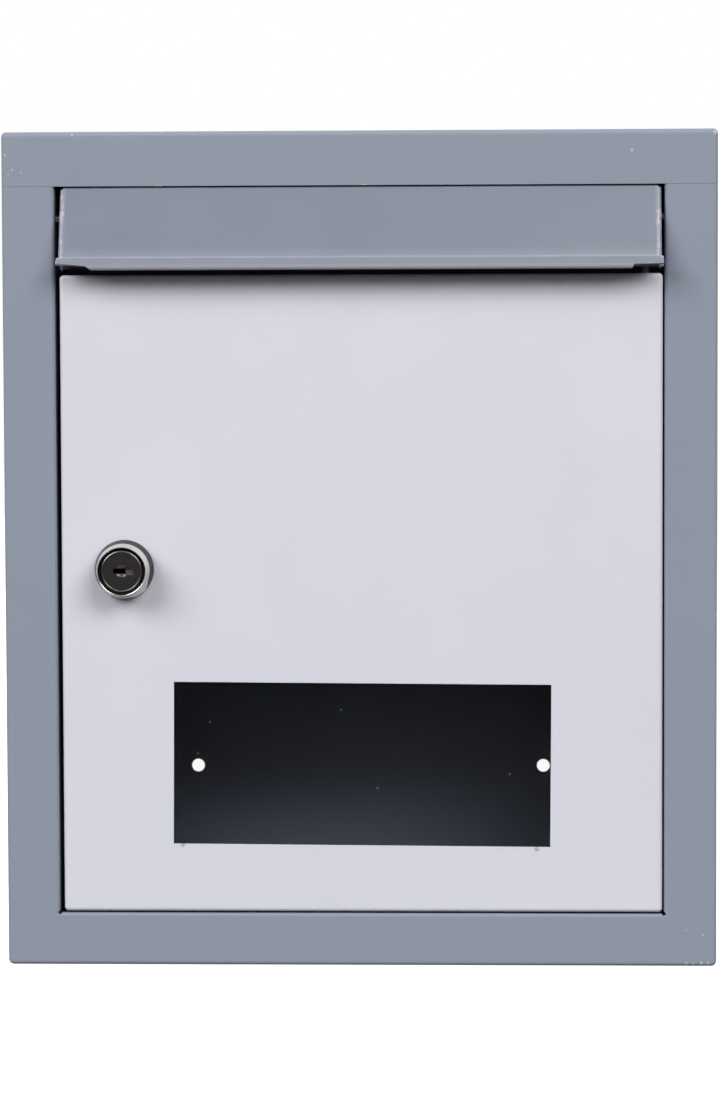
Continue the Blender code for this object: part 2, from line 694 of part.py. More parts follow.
def build_flap(material, axis, origin):
    """Sloping plate with its ears turned back at both ends and its lip flared and returned."""
    rows = list(FLAP_STATIONS)
    top, knee = rows[0][0], rows[1][0]
    plate = (knee - top).normalized()
    ear_rows = []
    for height in (OPENING_TOP - FLAP_EAR_TOP, knee.y + FLAP_EAR_FOOT):
        run = (height - top.y) / plate.y
        ear_rows.append((top + plate * run, rows[0][1]))
    rows[1:1] = ear_rows
    radius = FLAP_SHEET + FLAP_BEND
    relief = FLAP_RELIEF

    # Columns as (x, how far behind the plate's skin) on the outer and the inner skin
    ear = [(0, FLAP_EAR_DEPTH)]
    for step in range(BEND_STEPS + 1):
        angle = math.pi / 2 * step / BEND_STEPS
        ear.append((radius - radius * math.cos(angle), radius - radius * math.sin(angle)))
    inner_ear = [(FLAP_SHEET, FLAP_EAR_DEPTH)]
    for step in range(BEND_STEPS + 1):
        angle = math.pi / 2 * step / BEND_STEPS
        inner_ear.append((radius - FLAP_BEND * math.cos(angle), radius - FLAP_BEND * math.sin(angle)))
    columns = []
    for (x, behind), (inner_x, inner_behind) in zip(ear, inner_ear):
        columns.append((FLAP_LEFT + x, behind, FLAP_LEFT + inner_x, inner_behind))
    columns.append((FLAP_LEFT + relief, 0, FLAP_LEFT + relief, FLAP_SHEET))
    columns.append((FLAP_RIGHT - relief, 0, FLAP_RIGHT - relief, FLAP_SHEET))
    for (x, behind), (inner_x, inner_behind) in reversed(list(zip(ear, inner_ear))):
        columns.append((FLAP_RIGHT - x, behind, FLAP_RIGHT - inner_x, inner_behind))

    outer, inner, cells = {}, {}, []
    face_start, face_end = BEND_STEPS + 1, len(columns) - BEND_STEPS - 2
    knee_row, lip_row = len(ear_rows) + 1, len(rows) - BEND_STEPS - 2
    lip_up = (rows[knee_row + BEND_STEPS][0] - rows[lip_row][0]).normalized()
    for r, (point, normal) in enumerate(rows):
        flare = (radius + FLAP_FLARE) * min(1, max(0, (r - knee_row) / BEND_STEPS))
        for c, (x, behind, inner_x, inner_behind) in enumerate(columns):
            spot = point
            if c in (face_start, face_end):
                side = -1 if c == face_start else 1
                x, inner_x = x + side * flare, inner_x + side * flare
                spot = point + lip_up * FLAP_CLIP if r == lip_row else point
            skin = spot + normal * behind
            outer[r, c] = across(skin.x, skin.y, x)
            skin = spot + normal * inner_behind
            inner[r, c] = across(skin.x, skin.y, inner_x)
    for r in range(len(rows) - 1):
        for c in range(len(columns) - 1):
            on_face = face_start <= c < face_end
            on_return = r >= lip_row and not face_start < c < face_end - 1
            on_ear = not on_face and r == 1
            if (on_face and not on_return) or on_ear:
                cells.append((r, c))
    sheet = grid_sheet_mesh("flap", outer, inner, cells)
    cutters = []
    for x in (FLAP_LEFT + FLAP_SHEET / 2, FLAP_RIGHT - FLAP_SHEET / 2):
        cutter = rod_mesh("cutter", FLAP_PIN_RADIUS + RUNNING_GAP, -CUT_OVERRUN, CUT_OVERRUN)
        cutter.transform(Matrix.Rotation(math.pi / 2, 4, "Y"))
        cutter.transform(Matrix.Translation((x, FRONT_Y + FLAP_PIN_DEPTH, FLAP_PIN_Z)))
        cutters.append(cutter)
    new_piece("flap_plate", combine(sheet, cutters), material, axis, origin)


def build_flap_pins(pin_material, nut_material, axis):
    """Rivet pins out through both jambs, each kept by a push-on nut beyond the jamb."""
    for word, edge, side in (("left", FLAP_LEFT, -1), ("right", FLAP_RIGHT, 1)):
        head = abs(edge) - FLAP_SHEET - FIT_GAP
        jamb_back = OPENING_HALF + CASE_SHEET
        nut = jamb_back + FIT_GAP
        tail = nut + PUSH_NUT_SHEET + FLAP_PIN_TAIL
        profile = [
            (0, head - FLAP_PIN_HEAD_HEIGHT),
            (FLAP_PIN_HEAD_RADIUS, head - FLAP_PIN_HEAD_HEIGHT),
            (FLAP_PIN_HEAD_RADIUS, head),
            (FLAP_PIN_RADIUS, head),
            (FLAP_PIN_RADIUS, tail),
            (0, tail),
        ]
        turn = (0, side * math.pi / 2, 0)
        pin = turned_mesh("pin", profile, SMALL_ROUND_SIDES)
        new_piece("flap_pin_" + word, pin, pin_material, axis, rotation=turn)
        bore = FLAP_PIN_RADIUS + RUNNING_GAP
        back = nut + PUSH_NUT_SHEET
        ring = [(bore, nut), (PUSH_NUT_RADIUS, nut), (PUSH_NUT_RADIUS, back), (bore, back)]
        push_nut = turned_mesh("nut", ring, SMALL_ROUND_SIDES)
        new_piece("flap_push_nut_" + word, push_nut, nut_material, axis, rotation=turn)


def sector(inner, outer, start, end, steps=BEND_STEPS * 2):
    """Outline of a ring's sector between two angles."""
    angles = [start + (end - start) * i / steps for i in range(steps + 1)]
    points = [(outer * math.cos(a), outer * math.sin(a)) for a in angles]
    return points + [(inner * math.cos(a), inner * math.sin(a)) for a in reversed(angles)]


def straight(a, b, c):
    """Local point as given."""
    return (a, b, c)


# The stop washer's lug points up at rest, which is -Y in the lock's own frame, and the key
# turns it towards +X there
LUG_REST = -math.pi / 2
PLUG_FACE_FRONT = -(LOCK_HEAD_HEIGHT - LOCK_DISH_DEPTH) - PLUG_FACE_STAND
PLUG_FACE_BACK = PLUG_FACE_FRONT + PLUG_FACE_HEIGHT
STOP_WASHER_FRONT = LOCK_BARREL_LENGTH + FIT_GAP
CAM_FRONT = STOP_WASHER_FRONT + STOP_WASHER_SHEET + FIT_GAP
CAM_BACK = CAM_FRONT + CAM_THICKNESS
SPRING_WASHER_FRONT = CAM_BACK + FIT_GAP
SCREW_FRONT = SPRING_WASHER_FRONT + SPRING_WASHER_HEIGHT + FIT_GAP


def build_lock_housing(material, axis):
    """Die-cast conical head and barrel, bored for the plug, with flats, wafer grooves and a stop notch."""
    bore = PLUG_RADIUS + RUNNING_GAP
    counterbore = PLUG_FACE_RADIUS + FIT_GAP
    seat = -FIT_GAP
    dish = -(LOCK_HEAD_HEIGHT - LOCK_DISH_DEPTH)
    front = -LOCK_HEAD_HEIGHT
    profile = [
        (bore, LOCK_BARREL_LENGTH),
        (bore, PLUG_FACE_BACK + FIT_GAP),
        (counterbore, PLUG_FACE_BACK + FIT_GAP),
        (counterbore, dish),
        (LOCK_DISH_RADIUS, dish),
        (LOCK_DISH_RADIUS, front + LOCK_RIM_ROUND / 2),
        (LOCK_DISH_RADIUS + LOCK_RIM_ROUND / 2, front),
        (LOCK_DISH_RADIUS + LOCK_RIM_ROUND, front + LOCK_RIM_ROUND),
        (LOCK_NECK_RADIUS, front + LOCK_NECK_DEPTH),
        (LOCK_HEAD_RADIUS, seat - LOCK_HEAD_SKIRT),
        (LOCK_HEAD_RADIUS, seat),
        (LOCK_BARREL_RADIUS, seat),
        (LOCK_BARREL_RADIUS, LOCK_BARREL_LENGTH),
    ]
    body = turned_mesh("housing", profile)
    reach = LOCK_BARREL_RADIUS + CUT_OVERRUN
    cutters = []
    for side in (-1, 1):
        low, high = sorted((side * LOCK_FLATS / 2, side * reach))
        far = LOCK_BARREL_LENGTH + CUT_OVERRUN
        cutters.append(box_mesh("flat", (-reach, low, seat), (reach, high, far)))
    groove_end = PLUG_FACE_BACK + WAFER_START + WAFER_COUNT * WAFER_PITCH
    half_width = bore + WAFER_GROOVE_DEPTH
    half_height = WAFER_HEIGHT / 2 + FIT_GAP
    groove_start = PLUG_FACE_BACK + FIT_GAP + WAFER_START / 2
    low, high = (-half_width, -half_height, groove_start), (half_width, half_height, groove_end)
    cutters.append(box_mesh("groove", low, high))
    slack = STOP_LUG_HALF_ANGLE + STOP_SLACK_ANGLE
    notch = sector(PLUG_RADIUS - CUT_OVERRUN, reach, LUG_REST - slack, LUG_REST + LOCK_TURN + slack)
    depth = LOCK_BARREL_LENGTH - STOP_WASHER_SHEET - FIT_GAP
    cutters.append(prism_mesh("notch", notch, depth, LOCK_BARREL_LENGTH + CUT_OVERRUN, straight))
    new_piece("lock_housing", combine(body, cutters), material, axis)


def build_lock_nut(material, axis):
    """Hexagon nut that draws the lock's head onto the door."""
    bore = LOCK_BARREL_RADIUS + RUNNING_GAP
    front = DOOR_SHEET + FIT_GAP
    corner = LOCK_NUT_ACROSS_FLATS / math.sqrt(3)
    outline = [(corner * math.cos(math.pi / 3 * i), corner * math.sin(math.pi / 3 * i)) for i in range(6)]
    body = prism_mesh("nut", outline, front, front + LOCK_NUT_HEIGHT, straight)
    hole = rod_mesh("hole", bore, front - CUT_OVERRUN, front + LOCK_NUT_HEIGHT + CUT_OVERRUN, ROUND_SIDES)
    new_piece("lock_nut", combine(body, [hole]), material, axis)


def build_lock_plug(material, axis):
    """Turning plug with a horizontal keyway, slots for the wafers and a square tang."""
    face_front = PLUG_FACE_FRONT
    rim = PLUG_FACE_RADIUS - PLUG_RIM_WIDTH
    profile = [
        (0, face_front),
        (rim, face_front),
        (rim, face_front - PLUG_RIM_HEIGHT),
        (PLUG_FACE_RADIUS, face_front - PLUG_RIM_HEIGHT),
        (PLUG_FACE_RADIUS, PLUG_FACE_BACK),
        (PLUG_RADIUS, PLUG_FACE_BACK),
        (PLUG_RADIUS, LOCK_BARREL_LENGTH),
        (0, LOCK_BARREL_LENGTH),
    ]
    body = turned_mesh("plug", profile)
    half = TANG_SIZE / 2
    tang = box_mesh(
        "tang",
        (-half, -half, LOCK_BARREL_LENGTH - CUT_OVERRUN),
        (half, half, LOCK_BARREL_LENGTH + TANG_LENGTH),
    )
    body = combine(body, [tang], "UNION")
    key_high, step_high = KEYWAY_HEIGHT / 2, KEYWAY_STEP_HEIGHT / 2
    front = face_front - PLUG_RIM_HEIGHT - CUT_OVERRUN
    key_end = face_front + KEYWAY_DEPTH
    cutters = [
        box_mesh("keyway", (-KEYWAY_LEFT, -key_high, front), (KEYWAY_RIGHT, key_high, key_end)),
        box_mesh("step", (KEYWAY_STEP, -step_high, front), (KEYWAY_RIGHT, step_high, key_end)),
        rod_mesh("dimple", KEYWAY_DIMPLE_RADIUS, front, face_front + KEYWAY_DIMPLE_DEPTH),
    ]
    reach = PLUG_RADIUS + CUT_OVERRUN
    slot_half = WAFER_HEIGHT / 2 + RUNNING_GAP
    for i in range(WAFER_COUNT):
        start = PLUG_FACE_BACK + WAFER_START + i * WAFER_PITCH
        low = (-reach, -slot_half, start - RUNNING_GAP)
        high = (reach, slot_half, start + WAFER_THICKNESS + RUNNING_GAP)
        cutters.append(box_mesh("slot", low, high))
    screw_end = SCREW_FRONT - SCREW_LENGTH - FIT_GAP
    tang_end = LOCK_BARREL_LENGTH + TANG_LENGTH
    cutters.append(rod_mesh("tapping", SCREW_RADIUS + RUNNING_GAP, screw_end, tang_end + CUT_OVERRUN))
    new_piece("lock_plug", combine(body, cutters), material, axis)


def build_wafers(material, axis):
    """Flat wafers level with the plug's own surface, each closing the keyway's stepped end."""
    window_left = KEYWAY_LEFT + WAFER_WINDOW_MARGIN
    window_high = KEYWAY_HEIGHT / 2 + WAFER_WINDOW_MARGIN
    radius = PLUG_RADIUS - RUNNING_GAP
    for i in range(WAFER_COUNT):
        start = PLUG_FACE_BACK + WAFER_START + i * WAFER_PITCH
        outline = double_d(radius, WAFER_HEIGHT, SMALL_ROUND_SIDES)
        body = prism_mesh("wafer", outline, start, start + WAFER_THICKNESS, straight)
        window = box_mesh(
            "window",
            (-window_left, -window_high, start - CUT_OVERRUN),
            (KEYWAY_STEP, window_high, start + WAFER_THICKNESS + CUT_OVERRUN),
        )
        new_piece(f"lock_wafer_{i + 1}", combine(body, [window]), material, axis)


def square_hole(start, end):
    """Cutter for a part that sits on the plug's tang."""
    half = TANG_SIZE / 2 + RUNNING_GAP
    return box_mesh("square", (-half, -half, start - CUT_OVERRUN), (half, half, end + CUT_OVERRUN))


def build_stop_washer(material, axis):
    """Washer on the tang whose lug runs in the housing's notch and ends the key's turn."""
    front = STOP_WASHER_FRONT
    back = front + STOP_WASHER_SHEET
    disc = rod_mesh("disc", STOP_WASHER_RADIUS, front, back, ROUND_SIDES)
    inner, outer = PLUG_RADIUS + FIT_GAP, STOP_WASHER_RADIUS - FIT_GAP
    outline = sector(inner, outer, LUG_REST - STOP_LUG_HALF_ANGLE, LUG_REST + STOP_LUG_HALF_ANGLE)
    lug = prism_mesh("lug", outline, front - STOP_WASHER_SHEET, front + STOP_WASHER_SHEET / 2, straight)
    body = combine(disc, [lug], "UNION")
    new_piece("cam_stop_washer", combine(body, [square_hole(front, back)]), material, axis)


def build_cam(material, axis):
    """Flat cam that hangs down when unlocked and swings behind the left jamb when locked."""
    half = CAM_WIDTH / 2
    hub_angle = math.asin(half / CAM_HUB_RADIUS)
    points = []
    steps = BEND_STEPS * 4
    for i in range(steps + 1):
        angle = math.pi / 2 + hub_angle + (2 * math.pi - 2 * hub_angle) * i / steps
        points.append((CAM_HUB_RADIUS * math.cos(angle), CAM_HUB_RADIUS * math.sin(angle)))
    end = CAM_LENGTH - CAM_TIP_RADIUS
    for side, start in ((1, 0.0), (-1, math.pi / 2)):
        for i in range(BEND_STEPS + 1):
            angle = start + math.pi / 2 * i / BEND_STEPS
            x = side * (half - CAM_TIP_RADIUS) + CAM_TIP_RADIUS * math.cos(angle)
            points.append((x, end + CAM_TIP_RADIUS * math.sin(angle)))
    cam = prism_mesh("cam", points, CAM_FRONT, CAM_BACK, straight)
    new_piece("lock_cam", combine(cam, [square_hole(CAM_FRONT, CAM_BACK)]), material, axis)


def build_cam_screw(material, axis):
    """Slotted screw and split washer that hold the cam on the tang."""
    bore = SCREW_RADIUS + RUNNING_GAP
    back = SPRING_WASHER_FRONT + SPRING_WASHER_HEIGHT
    ring = [
        (bore, SPRING_WASHER_FRONT),
        (SPRING_WASHER_RADIUS, SPRING_WASHER_FRONT),
        (SPRING_WASHER_RADIUS, back),
        (bore, back),
    ]
    new_piece("cam_spring_washer", turned_mesh("ring", ring, SMALL_ROUND_SIDES), material, axis)
    head = SCREW_FRONT + SCREW_HEAD_HEIGHT
    shoulder = SCREW_HEAD_HEIGHT / 2
    profile = [
        (0, SCREW_FRONT - SCREW_LENGTH),
        (SCREW_RADIUS, SCREW_FRONT - SCREW_LENGTH),
        (SCREW_RADIUS, SCREW_FRONT),
        (SCREW_HEAD_RADIUS, SCREW_FRONT),
        (SCREW_HEAD_RADIUS, SCREW_FRONT + shoulder),
        (SCREW_HEAD_RADIUS - shoulder / 2, head),
        (0, head),
    ]
    screw = turned_mesh("screw", profile, SMALL_ROUND_SIDES)
    half, reach = SCREW_SLOT_WIDTH / 2, SCREW_HEAD_RADIUS + CUT_OVERRUN
    slot = box_mesh("slot", (-reach, -half, head - SCREW_SLOT_DEPTH), (reach, half, head + CUT_OVERRUN))
    new_piece("cam_screw", combine(screw, [slot]), material, axis)


def main():
    """Clears the scene and builds every part at its place in the closed, unlocked box."""
    for old in list(bpy.data.objects):
        bpy.data.objects.remove(old)

    grey_paint = new_material("grey_paint", (0.268, 0.301, 0.371), 0.0, 0.45)
    white_paint = new_material("white_paint", (0.660, 0.660, 0.730), 0.0, 0.40)
    clear_acrylic = new_material("clear_acrylic", (0.90, 0.93, 0.95), 0.0, 0.05, alpha=0.2)
    lock_chrome = new_material("lock_chrome", (0.62, 0.60, 0.57), 1.0, 0.18)
    plug_nickel = new_material("plug_nickel", (0.10, 0.09, 0.085), 1.0, 0.30)
    zinc_steel = new_material("zinc_steel", (0.52, 0.53, 0.54), 1.0, 0.38)
    wafer_brass = new_material("wafer_brass", (0.55, 0.42, 0.20), 1.0, 0.35)

    build_casing_wrap(grey_paint)
    build_top_cap(grey_paint)
    build_back_panel(grey_paint)
    build_slot_sill(grey_paint)
    build_door_pivots(zinc_steel)

    door_origin = (PIVOT_X, FRONT_Y + PIVOT_DEPTH, DOOR_BOTTOM)
    door_axis = new_axis("door_axis", door_origin)
    build_door_panel(white_paint, door_axis, door_origin)
    build_window(clear_acrylic, zinc_steel, door_axis, door_origin)

    flap_origin = (0, FRONT_Y + FLAP_PIN_DEPTH, FLAP_PIN_Z)
    flap_axis = new_axis("flap_axis", flap_origin)
    build_flap(grey_paint, flap_axis, flap_origin)
    build_flap_pins(zinc_steel, zinc_steel, flap_axis)

    lock_place = Vector((LOCK_X, FRONT_Y, LOCK_Z)) - Vector(door_origin)
    lock_axis = new_axis("lock_axis", lock_place, door_axis, (-math.pi / 2, 0, 0))
    build_lock_housing(lock_chrome, lock_axis)
    build_lock_nut(zinc_steel, lock_axis)
    build_lock_plug(plug_nickel, lock_axis)
    build_wafers(wafer_brass, lock_axis)
    build_stop_washer(zinc_steel, lock_axis)
    build_cam(zinc_steel, lock_axis)
    build_cam_screw(zinc_steel, lock_axis)


main()
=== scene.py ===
"""Finished looks of a wall-hung metal suggestion box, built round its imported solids.

A folded steel casing with a framed front, a sloping letter flap on two side pins, a white
door with a clear window, and a quarter-turn cam lock. Lengths are metres, +Z is up and the
front faces -Y.
"""

import json
import logging
import math
from collections.abc import Callable, Sequence
from dataclasses import dataclass, field
from enum import Enum

import bmesh
import bpy
from mathutils import Matrix, Vector

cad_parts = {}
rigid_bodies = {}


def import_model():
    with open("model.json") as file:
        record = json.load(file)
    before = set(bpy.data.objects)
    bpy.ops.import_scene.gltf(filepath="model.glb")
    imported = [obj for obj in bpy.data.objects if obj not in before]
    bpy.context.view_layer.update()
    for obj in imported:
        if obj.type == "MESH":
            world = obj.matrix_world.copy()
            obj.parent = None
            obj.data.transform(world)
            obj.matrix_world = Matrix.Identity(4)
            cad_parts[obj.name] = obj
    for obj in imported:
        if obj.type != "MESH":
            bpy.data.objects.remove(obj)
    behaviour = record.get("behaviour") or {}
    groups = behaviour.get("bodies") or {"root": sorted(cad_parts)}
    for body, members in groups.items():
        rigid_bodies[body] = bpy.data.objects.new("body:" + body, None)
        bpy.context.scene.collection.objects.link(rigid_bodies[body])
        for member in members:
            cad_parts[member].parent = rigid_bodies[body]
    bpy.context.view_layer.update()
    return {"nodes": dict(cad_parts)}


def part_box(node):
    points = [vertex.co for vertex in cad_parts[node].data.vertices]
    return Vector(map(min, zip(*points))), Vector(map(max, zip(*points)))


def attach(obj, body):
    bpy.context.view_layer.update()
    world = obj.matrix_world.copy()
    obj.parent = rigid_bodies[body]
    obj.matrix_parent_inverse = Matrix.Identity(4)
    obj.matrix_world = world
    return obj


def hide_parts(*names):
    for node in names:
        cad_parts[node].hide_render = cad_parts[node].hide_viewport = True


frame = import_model()

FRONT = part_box("casing_wrap")[0].y

# Gap between joined parts, gap between turning parts, and how far a cutter stands out
FIT = 0.0003
PLAY = 0.00015
OVERRUN = 0.002

# Points nearer than this are one. Edges sharper than the first angle are rounded, and those
# that are still sharper than the second one shade as edges
SAME_POINT = 0.0000002
ROUNDED_FROM = math.radians(38)
SHARP_FROM = math.radians(50)

# Facets of small, middling and large turned parts
FEW, SOME, MANY = 48, 64, 96

QUARTER = math.pi / 2
LOG = logging.getLogger("suggestion_box")

BMesh = bmesh.types.BMesh
Material = bpy.types.Material
Mesh = bpy.types.Mesh
Socket = bpy.types.NodeSocket
Pair = tuple[float, float]
Triple = tuple[float, float, float]
Place = Callable[[float, float, float], Triple]
Chain = list[tuple[Vector, Vector]]

RIGHT, LEFT, UP, DOWN = Vector((1, 0)), Vector((-1, 0)), Vector((0, 1)), Vector((0, -1))


class Axis(Enum):
    """Direction that a round hole or a turned part runs along."""

    X = "X"
    Y = "Y"
    Z = "Z"

    def turn(self) -> Matrix:
        """Rotation that lays a part turned about Z along this axis."""
        quarters, about = {Axis.X: (1, "Y"), Axis.Y: (-1, "X"), Axis.Z: (0, "Z")}[self]
        return Matrix.Rotation(quarters * QUARTER, 4, about)


class Cut(Enum):
    """How one shape is combined with others."""

    AWAY = "DIFFERENCE"
    JOIN = "UNION"
    SHARE = "INTERSECT"


class Body(Enum):
    """Moving bodies of the box."""

    CASING = "casing"
    DOOR = "door"
    LOCK = "lock_rotor"
    FLAP = "flap"


def arc(radius: float, angles: Sequence[float]) -> list[Pair]:
    """Points round the axis, one at each angle."""
    return [(radius * math.cos(angle), radius * math.sin(angle)) for angle in angles]


def at_front(a: float, b: float, depth: float) -> Triple:
    """World point at (a, b) across the front, depth behind its plane."""
    return (a, FRONT + depth, b)


def along_x(depth: float, height: float, x: float) -> Triple:
    """World point of a section drawn as (depth, height), at one x."""
    return (x, FRONT + depth, height)


def as_given(a: float, b: float, c: float) -> Triple:
    """The point as it is."""
    return (a, b, c)


@dataclass(frozen=True)
class Fold:
    """Sheet metal: its thickness, and the radius inside its bends."""

    sheet: float
    radius: float
    steps: int = 8

    def stations(self, path: Sequence[Sequence[float]], guard: float = 0.0005) -> Chain:
        """Follows a strip's outer line, its thickness to the left.

        Args:
            path: Corners of the outer line.
            guard: How far beyond each bend a station holds the flat sheet flat.

        Returns:
            Points, each with the direction of the thickness there.
        """
        corners = [Vector(point) for point in path]
        chain: Chain = []
        for i, corner in enumerate(corners):
            before = (corner - corners[i - 1]).normalized() if i else None
            after = (corners[i + 1] - corner).normalized() if corner is not corners[-1] else None
            if before is None or after is None:
                along = after or before
                chain.append((corner.copy(), Vector((-along.y, along.x))))
                continue
            turn = math.atan2(before.cross(after), before.dot(after))
            side = math.copysign(1.0, turn)
            radius = self.radius + (self.sheet if side > 0 else 0.0)
            reach = radius * math.tan(abs(turn) / 2)
            normal = Vector((-before.y, before.x))
            centre = corner - before * reach + normal * side * radius
            chain.append((corner - before * (reach + guard), normal.copy()))
            for step in range(self.steps + 1):
                left = normal.copy()
                left.rotate(Matrix.Rotation(turn * step / self.steps, 2))
                chain.append((centre - left * side * radius, left))
            chain.append((corner + after * (reach + guard), left.copy()))
        return chain

    def outline(self, path: Sequence[Sequence[float]], guard: float = 0.0005) -> list[Vector]:
        """Closed outline of the folded strip's section."""
        chain = self.stations(path, guard)
        return [p for p, _ in chain] + [p + n * self.sheet for p, n in reversed(chain)]

    def flanged(self, flange: float) -> list[Vector]:
        """Chain of (inset, depth) from a plate's outer skin, over its flange, to its inner skin."""
        chain = self.stations([(0, flange), (0, 0), (4 * (self.sheet + self.radius), 0)])
        return [p for p, _ in reversed(chain)] + [p + n * self.sheet for p, n in chain]


@dataclass(frozen=True)
class Rim:
    """Rectangular rim that a section is swept round, with rounded corners."""

    corners: tuple[Vector, ...]
    inwards: tuple[Vector, ...]
    radius: float
    closed: bool
    steps: int = 8

    @staticmethod
    def rectangle(low: Vector, high: Vector, radius: float) -> "Rim":
        """Closed rim round a rectangle, anticlockwise from its lower left corner."""
        corners = (low, Vector((high.x, low.y)), high, Vector((low.x, high.y)))
        return Rim(corners, (UP, LEFT, DOWN, RIGHT), radius, True)

    @staticmethod
    def trough(half: float, foot: float, head: float, radius: float) -> "Rim":
        """Open rim down the left side of a rectangle, along its foot and up its right side."""
        corners = ((-half, head), (-half, foot), (half, foot), (half, head))
        return Rim(tuple(Vector(spot) for spot in corners), (RIGHT, UP, LEFT), radius, False)

    def stations(self) -> list[tuple[Vector, Vector, Vector]]:
        """Stations round the rim as (anchor, outward, inward)."""
        found = []
        last = len(self.corners) - 1
        for i, corner in enumerate(self.corners):
            if not self.closed and i in (0, last):
                inward = self.inwards[min(i, last - 1)]
                found.append((corner + inward * self.radius, -inward, inward))
                continue
            first, second = self.inwards[i - 1], self.inwards[i]
            for step in range(self.steps + 1):
                angle = QUARTER * step / self.steps
                outward = -first * math.cos(angle) - second * math.sin(angle)
                found.append((corner + (first + second) * self.radius, outward, first + second))
        return found

    def swept(self, section: Sequence[Vector], place: Place, plate: bool) -> Mesh:
        """Sweeps a section round the rim.

        Args:
            section: Points of (inset, depth).
            place: Maps (a, b, depth) to a point.
            plate: True where the section's two ends carry a flat plate across the middle.

        Returns:
            The closed mesh.
        """
        bm = bmesh.new()
        rings = []
        for anchor, outward, inward in self.stations():
            ring = []
            for inset, depth in section:
                if inset < self.radius:
                    spot = anchor + outward * (self.radius - inset)
                else:
                    spot = anchor + inward * (inset - self.radius)
                ring.append(bm.verts.new(place(spot.x, spot.y, depth)))
            rings.append(ring)
        sides = len(section) - 1 if plate else len(section)
        for i in range(len(rings) if self.closed else len(rings) - 1):
            here, there = rings[i], rings[(i + 1) % len(rings)]
            for k in range(sides):
                m = (k + 1) % len(section)
                bm.faces.new((here[k], here[m], there[m], there[k]))
        if plate:
            bm.faces.new([ring[0] for ring in rings])
            bm.faces.new([ring[-1] for ring in reversed(rings)])
        if not self.closed and plate:
            bm.faces.new(list(reversed(rings[0])) + rings[-1])
        elif not self.closed:
            bm.faces.new(list(reversed(rings[0])))
            bm.faces.new(rings[-1])
        return mesh_of(bm)


def mesh_of(bm: BMesh) -> Mesh:
    """Mesh of a finished bmesh, with doubles merged and its faces smooth and pointing out."""
    bmesh.ops.remove_doubles(bm, verts=bm.verts, dist=SAME_POINT)
    bmesh.ops.recalc_face_normals(bm, faces=bm.faces)
    mesh = bpy.data.meshes.new("shape")
    bm.to_mesh(mesh)
    bm.free()
    mesh.shade_smooth()
    return mesh


def prism(outline: Sequence[Sequence[float]], stops: Sequence[float], place: Place) -> Mesh:
    """Straight prism of a closed outline.

    Args:
        outline: Points of its section.
        stops: Places of its rings along the third direction, first to last.
        place: Maps (a, b, stop) to a point.

    Returns:
        The closed mesh.
    """
    bm = bmesh.new()
    rings = [[bm.verts.new(place(p[0], p[1], stop)) for p in outline] for stop in stops]
    bm.faces.new(rings[0])
    bm.faces.new(list(reversed(rings[-1])))
    for near, far in zip(rings, rings[1:]):
        for i in range(len(outline)):
            k = (i + 1) % len(outline)
            bm.faces.new((near[k], near[i], far[i], far[k]))
    return mesh_of(bm)


def block(low: Triple, high: Triple) -> Mesh:
    """Block between two corners, used as a cutter or as the start of a shape."""
    outline = [(low[0], low[1]), (high[0], low[1]), (high[0], high[1]), (low[0], high[1])]
    return prism(outline, (low[2], high[2]), as_given)


def turned(profile: Sequence[Pair], sides: int = SOME) -> Mesh:
    """Body of revolution about Z.

    Args:
        profile: (radius, height) points that close on themselves.
        sides: Facets round the axis.

    Returns:
        The closed mesh.
    """
    bm = bmesh.new()
    rings = []
    angles = [2 * math.pi * i / sides for i in range(sides)]
    for radius, height in profile:
        if radius == 0:
            rings.append([bm.verts.new((0, 0, height))] * sides)
        else:
            rings.append([bm.verts.new((x, y, height)) for x, y in arc(radius, angles)])
    for i, here in enumerate(rings):
        there = rings[(i + 1) % len(rings)]
        for k in range(sides):
            m = (k + 1) % sides
            spots = list(dict.fromkeys((here[k], here[m], there[m], there[k])))
            if len(spots) > 2:
                bm.faces.new(spots)
    return mesh_of(bm)


def dome(radius: float, start: float, rise: float, steps: int = 8) -> list[Pair]:
    """Profile points of a dome, from just above its foot to its crown on the axis."""
    angles = [QUARTER * step / steps for step in range(1, steps)]
    slope = [(radius * math.cos(a), start + rise * math.sin(a)) for a in angles]
    return [*slope, (0, start + rise)]


def rod(radius: float, start: float, end: float, sides: int = FEW) -> Mesh:
    """Round rod along Z, used as a cutter."""
    return turned([(0, start), (radius, start), (radius, end), (0, end)], sides)


def baked(obj: bpy.types.Object) -> Mesh:
    """Takes an object's evaluated mesh and removes the object.

    Args:
        obj: Object whose modifiers are to be applied.

    Returns:
        The plain mesh.
    """
    bpy.context.view_layer.update()
    graph = bpy.context.evaluated_depsgraph_get()
    found = obj.evaluated_get(graph)
    mesh = bpy.data.meshes.new_from_object(found, preserve_all_data_layers=True, depsgraph=graph)
    bpy.data.objects.remove(obj)
    return mesh


def linked(name: str, mesh: Mesh) -> bpy.types.Object:
    """New object of a mesh, in the scene."""
    obj = bpy.data.objects.new(name, mesh)
    bpy.context.scene.collection.objects.link(obj)
    return obj


def combined(base: Mesh, tools: Sequence[Mesh], cut: Cut) -> Mesh:
    """Combines a mesh with others.

    Args:
        base: Mesh that is kept.
        tools: Meshes that cut it or join it.
        cut: Which of these they do.

    Returns:
        The combined mesh.
    """
    body = linked("base", base)
    helpers = []
    for mesh in tools:
        helpers.append(linked("tool", mesh))
        modifier = body.modifiers.new("combine", "BOOLEAN")
        modifier.operation = cut.value
        modifier.object = helpers[-1]
    mesh = baked(body)
    for helper in helpers:
        bpy.data.objects.remove(helper)
    mesh.shade_smooth()
    return mesh


